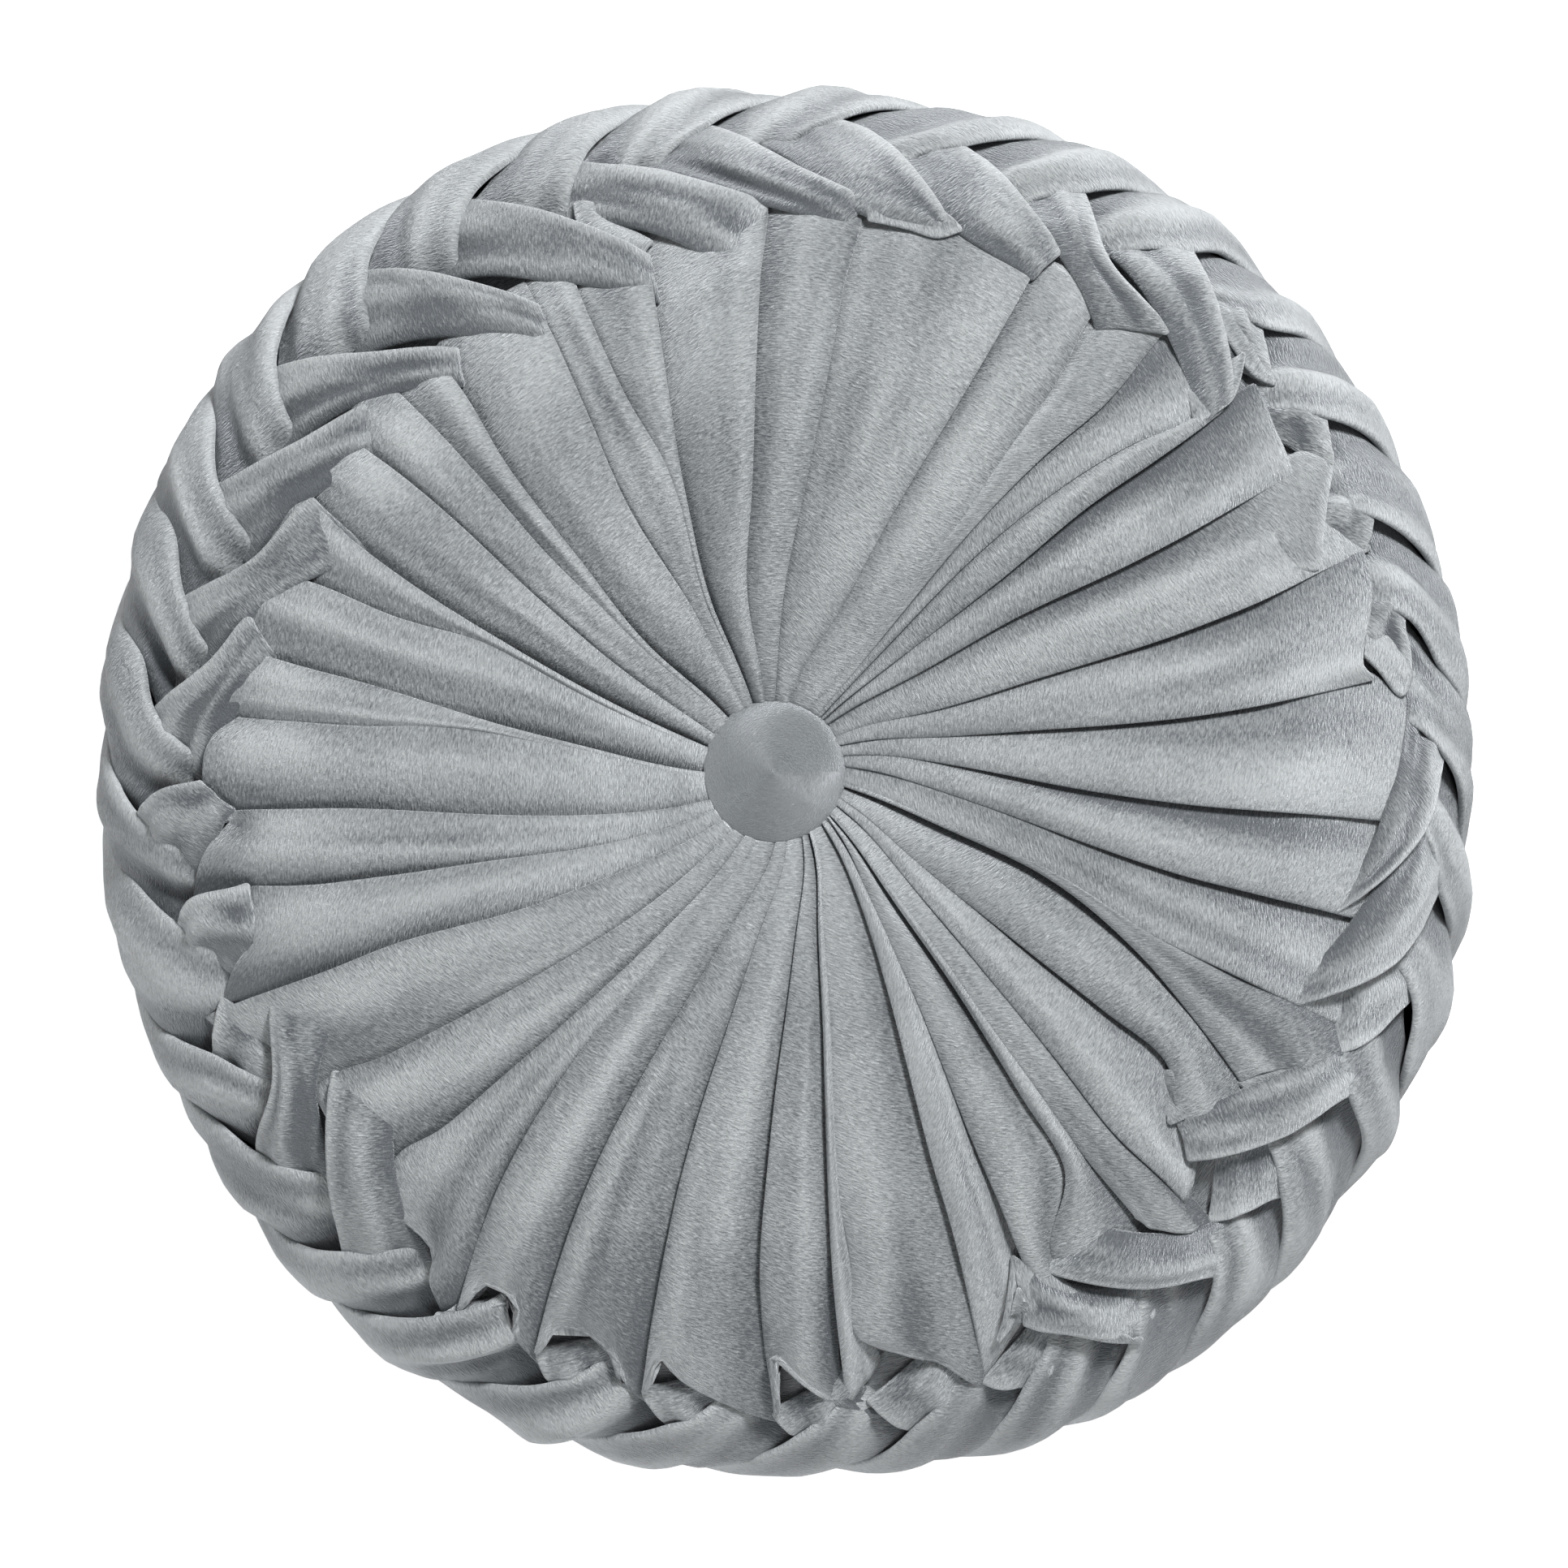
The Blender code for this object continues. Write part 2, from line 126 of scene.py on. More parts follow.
# Middle bands, one over each knot: inner end of the free edge, and where it goes over the rim.
MIDDLES = (
    ((5.0, 173.2), (-1.5, 186.1)),
    ((16.0, 169.4), (9.0, 183.4)),
    ((25.8, 169.4), (19.0, 185.6)),
    ((36.3, 168.8), (29.0, 186.5)),
    ((46.6, 175.0), (38.5, 187.2)),
    ((57.3, 168.3), (49.0, 187.2)),
    ((67.0, 167.9), (58.5, 186.5)),
    ((78.5, 170.1), (69.5, 184.3)),
    ((89.5, 171.0), (80.5, 183.0)),
    ((101.5, 167.7), (91.0, 182.1)),
    ((111.2, 159.9), (103.0, 181.6)),
    ((122.8, 161.3), (113.5, 181.6)),
    ((133.5, 159.5), (125.0, 183.0)),
    ((145.3, 158.4), (137.5, 180.7)),
    ((157.0, 152.4), (149.0, 177.9)),
    ((168.5, 156.8), (159.0, 175.0)),
    ((179.3, 154.4), (170.5, 174.5)),
    ((189.0, 156.2), (180.0, 179.4)),
    ((199.0, 155.1), (190.0, 177.6)),
    ((212.0, 160.6), (202.5, 181.2)),
    ((222.7, 162.8), (212.0, 179.4)),
    ((233.5, 161.0), (223.5, 183.8)),
    ((243.0, 159.9), (233.5, 184.3)),
    ((254.3, 166.6), (244.5, 185.6)),
    ((265.2, 172.3), (255.5, 187.2)),
    ((275.9, 172.3), (267.0, 187.8)),
    ((286.8, 172.8), (278.0, 188.7)),
    ((297.0, 168.8), (288.5, 189.4)),
    ((305.8, 171.0), (298.5, 189.6)),
    ((313.6, 172.8), (307.5, 190.0)),
    ((323.8, 166.1), (316.5, 190.0)),
    ((333.8, 171.0), (326.5, 190.9)),
    ((343.6, 176.1), (336.0, 188.7)),
    ((355.7, 176.8), (345.5, 189.4)),
)

# ---- the pleats ----
# Each pleat's free edge: where it starts under the braid (angle, mm), then its angle on each ring of
# PLEAT_RINGS.
PLEAT_RINGS = (133.0, 111.0, 78.0, 44.0, 23.0)   # mm from the middle
PLEAT_COLUMNS = ("start", "start_mm", "angles")
PLEATS = (
    (8.8, 165.0, (7.5, 7.2, 8.2, 11.5, 18.5)),
    (20.3, 170.6, (18.9, 18.5, 19.0, 20.6, 26.0)),
    (29.9, 162.8, (29.6, 30.0, 32.0, 34.0, 38.5)),
    (38.5, 149.7, (38.9, 39.8, 39.9, 41.5, 44.0)),
    (39.8, 148.8, (42.0, 44.2, 46.5, 47.0, 47.4)),
    (48.3, 158.4, (47.8, 49.2, 50.3, 50.2, 50.2)),
    (55.0, 150.0, (54.0, 53.7, 52.6, 53.0, 57.0)),
    (62.5, 151.9, (62.7, 63.3, 65.0, 68.0, 75.0)),
    (80.9, 152.8, (81.7, 82.1, 83.5, 86.7, 87.5)),
    (90.6, 154.4, (91.5, 92.3, 94.0, 98.0, 96.0)),
    (103.8, 142.0, (104.0, 105.0, 107.2, 109.3, 106.5)),
    (112.0, 142.9, (111.9, 111.3, 108.3, 110.0, 107.3)),
    (116.9, 142.2, (116.8, 117.3, 118.5, 115.5, 114.0)),
    (129.0, 141.0, (129.1, 130.7, 132.0, 133.7, 129.5)),
    (134.6, 145.1, (134.5, 134.8, 136.0, 134.6, 130.4)),
    (141.6, 143.0, (141.4, 141.6, 143.5, 145.7, 146.0)),
    (149.6, 145.7, (150.8, 152.3, 154.0, 156.3, 157.5)),
    (157.8, 143.0, (157.5, 157.5, 155.2, 157.2, 158.4)),
    (167.0, 143.0, (167.2, 167.6, 169.5, 172.6, 177.0)),
    (174.2, 146.6, (173.9, 173.4, 170.6, 173.5, 178.0)),
    (184.0, 155.1, (184.2, 185.0, 188.3, 194.3, 200.0)),
    (192.4, 146.2, (193.4, 194.7, 197.5, 204.0, 209.0)),
    (203.2, 162.8, (203.8, 204.3, 208.2, 213.5, 219.5)),
    (214.4, 145.7, (215.8, 217.6, 221.3, 227.0, 231.0)),
    (225.5, 148.0, (226.8, 228.0, 230.9, 236.0, 242.0)),
    (239.4, 170.1, (236.0, 235.1, 235.6, 240.5, 250.0)),
    (247.5, 171.0, (245.6, 245.4, 247.2, 253.5, 266.0)),
    (257.9, 172.8, (256.9, 256.8, 258.5, 264.0, 275.5)),
    (269.9, 175.0, (268.1, 268.6, 270.7, 277.0, 288.0)),
    (276.3, 172.8, (276.3, 277.0, 279.3, 284.5, 295.0)),
    (278.9, 157.7, (278.6, 278.3, 280.2, 285.3, 296.0)),
    (289.0, 176.1, (290.9, 291.8, 295.0, 301.5, 308.5)),
    (296.6, 149.5, (297.2, 298.0, 300.8, 305.5, 314.5)),
    (299.6, 152.8, (305.9, 306.8, 309.0, 312.3, 318.0)),
    (308.9, 156.4, (308.5, 309.0, 310.0, 313.3, 319.5)),
    (313.4, 155.1, (313.0, 314.0, 316.0, 320.5, 328.0)),
    (319.4, 144.9, (323.1, 323.7, 324.6, 327.0, 334.0)),
    (326.4, 152.4, (329.2, 333.0, 338.3, 341.2, 345.0)),
    (335.8, 163.9, (336.0, 336.3, 339.4, 342.0, 346.0)),
    (345.7, 159.5, (345.5, 345.5, 347.5, 353.0, 360.5)),
    (355.4, 165.7, (355.2, 355.2, 356.8, 362.5, 369.5)),
)

# Pleats whose outer end is itself folded up as a front band, by the row of PLEATS at their left:
# the free edge from left to right, as (angle, mm) places.
HEADS = {
    0: ((6.8, 174.8), (2.5, 171.0), (-1.5, 168.1), (-4.4, 166.1)),
    1: ((20.4, 172.8), (17.3, 170.6), (13.0, 164.6), (8.8, 161.5)),
    3: ((38.9, 169.7), (36.0, 166.1), (33.0, 163.7), (30.0, 162.8)),
    20: ((184.0, 155.9), (180.0, 155.1), (176.5, 152.4), (174.3, 147.1)),
    21: ((192.8, 163.9), (190.0, 159.5), (187.0, 152.8), (184.0, 147.1)),
    22: ((202.6, 164.4), (200.5, 157.3), (197.3, 147.1), (192.6, 146.0)),
    25: ((238.4, 174.5), (236.1, 167.5), (235.0, 160.4), (228.7, 158.2)),
    26: ((248.6, 175.4), (245.4, 168.8), (244.0, 160.1), (239.3, 158.8)),
    27: ((259.3, 177.9), (256.5, 172.3), (254.8, 164.8), (247.4, 161.3)),
    28: ((270.4, 179.0), (265.5, 172.8), (261.0, 166.6), (258.0, 161.3)),
    29: ((279.4, 179.9), (275.5, 172.3), (272.0, 163.5), (269.1, 157.7)),
    31: ((288.9, 178.5), (286.4, 168.3), (283.5, 163.0), (280.3, 159.9)),
    35: ((314.2, 172.8), (311.4, 165.9), (309.7, 160.8), (309.0, 156.8)),
    38: ((334.4, 176.1), (331.0, 165.7), (328.7, 155.7), (326.6, 152.8)),
}

# Small turned-over ends and curls along the front bands: the free edge and the fold that it hangs on,
# as (angle, mm) places, and how far each stands over the padding in mm.
LAPPET_COLUMNS = ("free edge", "fold", "free stand", "fold stand")
LAPPETS = (
    (((21.2, 153.7), (20.6, 157.6), (23.6, 163.0), (26.4, 168.0), (28.5, 172.7)),
     ((29.6, 147.0), (30.6, 153.0), (31.2, 158.5), (31.6, 164.0), (31.4, 169.0)), 6.8, 4.2),
    (((39.7, 149.3), (39.3, 154.9), (39.2, 160.0), (40.1, 165.1), (41.5, 170.3)),
     ((44.0, 154.5), (42.6, 158.5), (41.5, 160.0), (41.1, 163.2), (42.1, 166.9)), 8.2, 4.6),
    (((46.4, 173.2), (42.8, 171.4), (39.3, 170.8), (37.9, 172.6)),
     ((44.5, 181.5), (42.9, 181.6), (41.0, 178.7), (38.6, 174.9)), 6.0, 0.6),
    (((109.4, 163.0), (109.6, 157.6), (107.6, 150.2), (104.4, 145.6)),
     ((106.9, 162.0), (106.0, 157.4), (104.6, 153.2), (103.0, 149.4)), 8.4, 4.6),
    (((80.1, 152.3), (76.4, 152.3), (72.9, 152.4), (71.2, 155.4)),
     ((81.3, 163.4), (79.3, 166.4), (76.5, 166.1), (75.1, 161.2)), 8.8, 5.6),
    (((294.6, 164.6), (298.3, 172.8), (300.8, 179.1), (302.6, 182.5)),
     ((296.4, 148.3), (298.3, 154.1), (300.8, 166.6), (302.0, 178.5)), 9.6, 6.6),
    (((291.7, 166.0), (293.4, 163.1), (294.5, 159.1), (295.4, 155.7)),
     ((296.4, 148.3), (296.2, 154.9), (295.3, 161.0), (294.3, 164.2)), 8.6, 6.4),
    (((318.5, 144.3), (320.3, 145.9), (321.6, 140.7), (323.1, 135.9)),
     ((319.3, 140.4), (320.7, 138.1), (321.3, 135.9), (322.0, 134.1)), 8.2, 4.0),
    (((326.7, 156.1), (328.1, 159.5), (330.8, 166.5), (332.0, 166.8)),
     ((326.3, 152.0), (328.6, 154.0), (330.5, 160.1), (332.3, 164.1)), 7.2, 3.0),
    (((11.8, 163.1), (9.8, 167.5), (7.1, 173.8), (8.0, 175.7)),
     ((15.3, 168.0), (13.6, 171.8), (12.5, 177.2), (10.2, 176.8)), 6.0, 2.2),
)

# ---- the back, folded the same way but plainly ----
MIDDLE_DROP = 54.0 * MM      # a middle band's length over the rim
MIDDLE_LEAN = -16.0          # degrees that it turns on the way
BACK_DROP = 38.0 * MM        # the same for a back band
BACK_LEAN = 12.0
BACK_SWIRL = -25.0           # turn of a back pleat from its tip to the button

# ---- how far the cloth stands over the padding, in mm ----
# Free edge, buried edge, crown between them, and radius of the roll.
STAND_COLUMNS = ("at", "free", "buried", "crown", "roll")
# Pleats, by mm from the middle.
PLEAT_STAND = (
    (17.0, 0.0, -1.0, 0.2, 0.40),
    (24.0, 2.4, -0.2, 0.6, 0.50),
    (50.0, 4.6, 0.4, 1.6, 0.70),
    (80.0, 6.2, 0.8, 2.4, 0.80),
    (111.0, 7.0, 0.8, 3.0, 0.85),
    (136.0, 6.6, 0.4, 2.8, 0.90),
    (154.0, 3.2, -0.6, 1.8, 1.00),
    (172.0, 0.6, -1.0, 0.4, 1.00),
)
# Front bands, by share of the way from the knot to the tip.
BAND_STAND = (
    (0.00, 1.6, 0.6, 0.2, 1.2),
    (0.15, 4.4, 2.8, 0.6, 1.2),
    (0.32, 7.0, 4.2, 1.2, 1.25),
    (0.50, 8.0, 4.8, 1.5, 1.25),
    (0.75, 8.2, 5.8, 1.8, 1.25),
    (0.90, 7.7, 5.4, 1.5, 1.25),
    (1.00, 5.8, 4.0, 0.8, 1.2),
)
# The same where the band is only a facet that falls from a pleat's folded end into the pocket.
FACET_STAND = (
    (0.00, 1.2, 0.0, 0.2, 1.0),
    (0.20, 2.6, 0.6, 0.6, 1.1),
    (0.50, 3.6, 1.2, 0.8, 1.1),
    (0.80, 3.2, 0.4, 0.6, 1.1),
    (1.00, 1.6, -0.8, 0.2, 1.0),
)
FACETS = (1, 2, 3, 4, 19, 22, 23, 24, 25, 26, 27, 30, 32)   # rows of BANDS
# Middle bands, by share of the way from the inner end over the rim to the back knot.
MIDDLE_STAND = (
    (0.00, -2.4, -3.4, 0.0, 0.9),
    (0.06, 4.4, -1.4, -0.4, 1.0),
    (0.11, 6.8, -0.2, -0.7, 1.1),
    (0.18, 8.2, 1.8, -0.2, 1.15),
    (0.30, 8.4, 4.2, 1.6, 1.2),
    (0.45, 8.0, 4.6, 3.8, 1.2),
    (0.60, 7.8, 4.6, 3.8, 1.2),
    (0.80, 7.2, 4.0, 2.6, 1.2),
    (1.00, 6.0, 3.2, 0.8, 1.2),
)
# Back bands, by share of the way from the knot to the tip.
BACK_BAND_STAND = (
    (0.00, 1.4, 0.4, 0.2, 1.2),
    (0.25, 5.0, 1.4, 0.9, 1.5),
    (0.60, 8.0, 2.2, 1.4, 1.6),
    (1.00, 7.0, 2.6, 0.6, 1.4),
)


# ---- padding section ----
class Padding:
    """The padding's section, read by the distance along it from the widest ring."""

    def __init__(self):
        turn = np.linspace(-math.pi / 2, math.pi / 2, 3000)
        power = 2.0 / ROUNDNESS
        self.radius = RIM_RADIUS * np.abs(np.cos(turn)) ** power
        self.height = HALF_HEIGHT * np.sign(turn) * np.abs(np.sin(turn)) ** power
        dimple = DIMPLE_DEPTH * np.exp(-(self.radius / DIMPLE_WIDTH) ** 2)
        self.height -= np.sign(turn) * np.minimum(dimple, np.abs(self.height))
        steps = np.hypot(np.diff(self.radius), np.diff(self.height))
        travelled = np.concatenate(([0.0], np.cumsum(steps)))
        self.arc = travelled - np.interp(0.0, turn, travelled)
        along_r = np.gradient(self.radius)
        along_z = np.gradient(self.height)
        length = np.hypot(along_r, along_z)
        self.normal_r = along_z / length
        self.normal_z = -along_r / length

    def read(self, values, arc):
        return np.interp(arc, self.arc, values)

    def back_arc(self, radius):
        """Arc at which the back has this radius."""
        back = self.arc <= 0.0
        return np.interp(radius, self.radius[back], self.arc[back])


def reach_at(angle):
    """Radius of the finished outline at this angle."""
    place = np.mod(angle, 360.0) / RIM_STEP
    first = np.floor(place).astype(int)
    blend = 0.5 - 0.5 * np.cos(np.pi * (place - first))
    here = RIM_REACH[first % len(RIM_REACH)]
    following = RIM_REACH[(first + 1) % len(RIM_REACH)]
    return (here + (following - here) * blend) * MM


padding = Padding()


def swell_at(angle, radius):
    """How far the rim stands out of its mean circle."""
    return (reach_at(angle) - BRAID_STAND - RIM_RADIUS) * (radius / RIM_RADIUS) ** SWELL_POWER


def over_padding(angle, arc, stand):
    """World points that stand this far over the padding."""
    radius = padding.read(padding.radius, arc)
    out = radius + swell_at(angle, radius) + padding.read(padding.normal_r, arc) * stand
    height = padding.read(padding.height, arc) + padding.read(padding.normal_z, arc) * stand
    height = height + WIDEST_RING_HEIGHT
    squashed = PRESSED * np.exp(np.minimum(height - PRESSED, 0.0) / PRESSED)
    height = np.where(height < PRESSED, squashed, height)
    turn = np.radians(angle)
    return np.stack((MIDDLE_X + out * np.cos(turn), MIDDLE_Y + out * np.sin(turn), height), axis=-1)


def arc_seen(angle, seen):
    """Arc of the front point that shows at this distance from the middle, seen from above."""
    front = padding.arc >= 0.0
    radius = padding.radius[front][::-1]
    out = radius + swell_at(np.array(angle), radius) + padding.normal_r[front][::-1] * SEEN_STAND
    rise = padding.height[front][::-1] + padding.normal_z[front][::-1] * SEEN_STAND
    shown = np.maximum.accumulate(out * (1.0 + rise / VIEW_DISTANCE))
    return np.interp(seen, shown, padding.arc[front][::-1])


def placed(places, turn=0.0):
    """(angle, mm as seen) places as rows of (angle, arc)."""
    return np.array([(angle + turn, arc_seen(angle, seen * MM)) for angle, seen in places])


def degrees_across(width, arc):
    """The angle that a width along a ring takes up at this arc."""
    return np.degrees(width / np.maximum(padding.read(padding.radius, arc), LEAST_RADIUS))


random = np.random.default_rng(34)

# ---- lines ----
METRES_PER_DEGREE = 2.8 * MM     # along a ring beside the braid
CLOSEST_POINTS = 0.8 * MM        # points of a line that are nearer to each other count as one


def steps_along(points):
    """Steps between (angle, arc) points, and their lengths."""
    steps = np.diff(points, axis=0)
    return steps, np.hypot(steps[:, 0] * METRES_PER_DEGREE, steps[:, 1])


def smooth_line(points, count):
    """A smooth line through (angle, arc) points, as count rows evenly spaced along it."""
    points = np.asarray(points, float)
    chord = steps_along(points)[1]
    points = points[np.concatenate(([True], chord > CLOSEST_POINTS))]
    steps, chord = steps_along(points)
    knots = np.concatenate(([0.0], np.cumsum(chord)))
    slope = steps / chord[:, None]
    tangent = np.empty_like(points)
    tangent[0] = slope[0]
    tangent[-1] = slope[-1]
    weight = (chord[:-1] / (chord[:-1] + chord[1:]))[:, None]
    tangent[1:-1] = slope[:-1] * (1.0 - weight) + slope[1:] * weight
    at = np.linspace(0.0, knots[-1], count)
    span = np.clip(np.searchsorted(knots, at, side="right") - 1, 0, len(chord) - 1)
    width = chord[span]
    t = ((at - knots[span]) / width)[:, None]
    width = width[:, None]
    return (
        points[span] * (2 * t**3 - 3 * t**2 + 1)
        + tangent[span] * width * (t**3 - 2 * t**2 + t)
        + points[span + 1] * (3 * t**2 - 2 * t**3)
        + tangent[span + 1] * width * (t**3 - t**2)
    )


def stands_at(table, at):
    """The free, buried, crown and roll columns of a table of stands, read at these places."""
    rows = np.array(table)
    return [np.interp(at, rows[:, 0], rows[:, column]) * MM for column in range(1, len(STAND_COLUMNS))]


# ---- sleeves of cloth ----
# Columns across a sleeve, as shares of its width: even over the fold, then closer towards its lip.
LIP_SHARE = 0.2
LIP_COLUMNS = 1.0 - LIP_SHARE + LIP_SHARE * np.sin(np.linspace(0.26, 0.5 * np.pi, 7))
ACROSS = np.concatenate((np.linspace(0.0, 1.0 - LIP_SHARE, 12), LIP_COLUMNS))
OUTER = np.arange(len(ACROSS))
UNDER = OUTER[-3:1:-2]         # columns that the underside keeps
# Turns, in degrees from the outer side, round the free edge, the buried edge and the ends.
EDGE_TURNS = (22.0, 45.0, 68.0, 90.0, 115.0, 140.0, 165.0)
BURIED_TURNS = (-160.0, -115.0, -65.0, -20.0)
END_TURNS = np.radians((25.0, 50.0, 72.0, 88.0))
# The points of one ring round a sleeve: the column that each belongs to, and its turn.
RING_COLUMNS = np.concatenate((OUTER, [OUTER[-1]] * len(EDGE_TURNS), UNDER, [0] * len(BURIED_TURNS)))
RING_TURNS = np.concatenate((0.0 * OUTER, EDGE_TURNS, [180.0] * len(UNDER), BURIED_TURNS))
RING_TURNS = np.radians(RING_TURNS)[:, None]


def unit(vectors):
    return vectors / np.maximum(np.linalg.norm(vectors, axis=-1, keepdims=True), 1e-9)


def rolled_end(core, ring, forward):
    """Rings that round off a sleeve's end, from its last ring to its tip."""
    return np.array([core + np.cos(t) * (ring - core) + np.sin(t) * forward for t in END_TURNS])


HEART = np.array((MIDDLE_X, MIDDLE_Y, WIDEST_RING_HEIGHT))   # every outer face looks away from it


def add_object(name, data):
    made = bpy.data.objects.new(name, data)
    bpy.context.collection.objects.link(made)
    return made


class Cloth:
    """Gathers closed sleeves into one mesh."""

    def __init__(self):
        self.points = []
        self.faces = []
        self.texture = []
        self.tones_and_painted_light = []
        self.count = 0

    def sleeve(self, grid, roll, tone_and_painted_light, start, rounded):
        """Close a grid of points (along, across) into a sleeve with rolled edges.

        The grid is the outer face. The free edge is at the end of each row, and roll is the
        sleeve's half thickness along it. Start is where the sleeve lies on the pile's pattern, and
        rounded says whether its first and last ends are rounded off.
        """
        along = unit(np.gradient(grid, axis=0))
        across = unit(np.gradient(grid, axis=1))
        normal = unit(np.cross(across, along))
        if np.sum(normal * (grid - HEART)) < 0.0:
            normal = -normal
        half = roll[:, None, None]
        core = (grid - half * normal)[:, RING_COLUMNS]
        side = across[:, RING_COLUMNS]
        up = normal[:, RING_COLUMNS]
        ring = core + half * (np.cos(RING_TURNS) * up + np.sin(RING_TURNS) * side)
        forward = np.cross(up, side)
        ahead = np.sum(forward * along[:, RING_COLUMNS], axis=-1, keepdims=True)
        forward = unit(forward * np.sign(ahead))
        layers = [ring]
        tones_and_painted_light = [tone_and_painted_light[:, RING_COLUMNS]]
        if rounded[0]:
            layers.insert(0, rolled_end(core[0], ring[0], -roll[0] * forward[0])[::-1])
            tones_and_painted_light.insert(0, np.repeat(tones_and_painted_light[0][:1], len(END_TURNS), axis=0))
        if rounded[1]:
            layers.append(rolled_end(core[-1], ring[-1], roll[-1] * forward[-1]))
            tones_and_painted_light.append(np.repeat(tones_and_painted_light[-1][-1:], len(END_TURNS), axis=0))
        self.add_rings(np.concatenate(layers), np.concatenate(tones_and_painted_light), start)

    def add_rings(self, ring, tone_and_painted_light, start):
        """Add a tube of closed rings, capped at both ends."""
        rows, around = ring.shape[:2]
        closed = np.concatenate((ring, ring[:, :1]), axis=1)
        run = np.linalg.norm(np.diff(ring, axis=0), axis=2).mean(axis=1)
        run = np.concatenate(([0.0], np.cumsum(run)))
        girth = np.linalg.norm(np.diff(closed, axis=1), axis=2)
        girth = np.concatenate((np.zeros((rows, 1)), np.cumsum(girth, axis=1)), axis=1)
        row, column = np.meshgrid(np.arange(rows - 1), np.arange(around), indexing="ij")
        quads = []
        corners = []
        for down, aside in ((0, 0), (0, 1), (1, 1), (1, 0)):
            quads.append(self.count + (row + down) * around + (column + aside) % around)
            corners.append(np.stack((run[row + down], girth[row + down, column + aside]), axis=-1))
        self.points.append(ring.reshape(-1, 3))
        self.tones_and_painted_light.append(tone_and_painted_light.reshape(-1))
        self.faces.extend(np.stack(quads, axis=-1).reshape(-1, 4).tolist())
        self.texture.append(np.stack(corners, axis=2).reshape(-1, 2) + np.array(start))
        for cap in (0, rows - 1):
            first = self.count + cap * around
            self.faces.append(list(range(first, first + around)))
            corners = np.stack((np.full(around, run[cap]), girth[cap, :-1]), axis=-1)
            self.texture.append(corners + np.array(start))
        self.count += rows * around

    def finish(self, name, material):
        """Make one piece of all the sleeves."""
        mesh = bpy.data.meshes.new(name)
        mesh.from_pydata(np.concatenate(self.points).tolist(), [], self.faces)
        layer = mesh.uv_layers.new(name="cloth")
        layer.data.foreach_set("uv", np.concatenate(self.texture).astype(np.float32).ravel())
        # Per-point tone of each fold: its own random tone, plus painted shade in its hollows and painted
        # highlight on its lips and crests.
        tones_and_painted_light = mesh.attributes.new("tone_and_painted_light", "FLOAT", "POINT")
        tones_and_painted_light.data.foreach_set("value", np.concatenate(self.tones_and_painted_light).astype(np.float32))
        built = bmesh.new()
        built.from_mesh(mesh)
        bmesh.ops.recalc_face_normals(built, faces=built.faces[:])
        built.to_mesh(mesh)
        built.free()
        mesh.shade_smooth()
        mesh.materials.append(material)
        return add_object(name, mesh)


def wave(at, phase):
    return np.sin(2.0 * np.pi * (at + phase))


def bell(at, middle, width):
    return np.exp(-((at - middle) / width) ** 2)


# Soft folds that gather at a band's two ends: where, how far they reach, and how high they are.
END_FOLDS = ((0.0, 0.34, 1.0), (1.0, 0.28, 0.8))
END_FOLD_WIDTH = 0.15

# Creases of each kind of fold: how many, how deep in mm, and the narrowest as a share of its width.
CREASES = {
    "pleat": (5, 0.8, 0.09),
    "middle band": (6, 1.9, 0.11),
    "front band": (5, 1.45, 0.11),
    "lappet": (3, 0.35, 0.2),
}


def fold_ridges(run, phase, strength):
    """Soft folds along a band, gathered at its two ends."""
    total = 0.0
    for number, (at, reach, height) in enumerate(END_FOLDS):
        near = bell(run, at, reach)
        for order in range(2):
            middle = 0.28 + 0.42 * order + 0.16 * (phase[(number + order) % 4] - 0.5)
            middle = middle + (0.5 - middle) * 0.5 * (1.0 - np.abs(run - at))
            sign = 1.0 if (order + number) % 2 else -1.0
            total = total + sign * height * near * bell(ACROSS, middle, END_FOLD_WIDTH)
    return MM * strength * total


def creases(run, kind):
    """Soft creases that run along a fold, each fading out at its ends, with one side steeper."""
    count, depth, narrowest = CREASES[kind]
    total = 0.0
    for _ in range(count):
        place = random.uniform(0.15, 0.8)
        slope = random.uniform(-0.35, 0.35)
        at = random.uniform(0.0, 1.0)
        width = random.uniform(narrowest, 2.0 * narrowest)
        reach = random.uniform(0.12, 0.4)
        off = (ACROSS - place - slope * (run - at)) / width
        ridge = np.exp(-off ** 2) * (0.55 - 1.1 * off)
        total = total + random.choice((-1.0, 1.0)) * ridge * bell(run, at, reach)
    return MM * depth * total


def sleeve_grid(left, right, free, buried, crown, ripple, bow=None, climb_power=1.7):
    """Points of a sleeve's outer face between two lines of (angle, arc) rows.

    It climbs from the buried stand at the left to the free one at the right, steepest at the left.
    """
    angle = left[:, :1] + (right[:, :1] - left[:, :1]) * ACROSS
    arc = left[:, 1:] + (right[:, 1:] - left[:, 1:]) * ACROSS
    if bow is not None:
        angle = angle + bow[..., 0]
        arc = arc + bow[..., 1]
    climb = 1.0 - (1.0 - ACROSS) ** climb_power
    stand = buried[:, None] + (free - buried)[:, None] * climb
    stand = stand + crown[:, None] * 4.0 * ACROSS * (1.0 - ACROSS)
    return over_padding(angle, arc, stand + ripple)


# ---- materials ----
STROKE_WEIGHT = 2.3          # strokes of nap in the pile's colour
PATCH_WEIGHT = 0.55          # slow mottle in it


def set_inputs(node, values):
    for socket, value in values.items():
        node.inputs[socket].default_value = value


def add_node(tree, kind, **settings):
    node = tree.nodes.new(kind)
    for key, value in settings.items():
        setattr(node, key, value)
    return node


def add_noise(tree, at, values):
    node = add_node(tree, "ShaderNodeTexNoise")
    set_inputs(node, values)
    tree.links.new(at, node.inputs["Vector"])
    return node.outputs["Fac"]


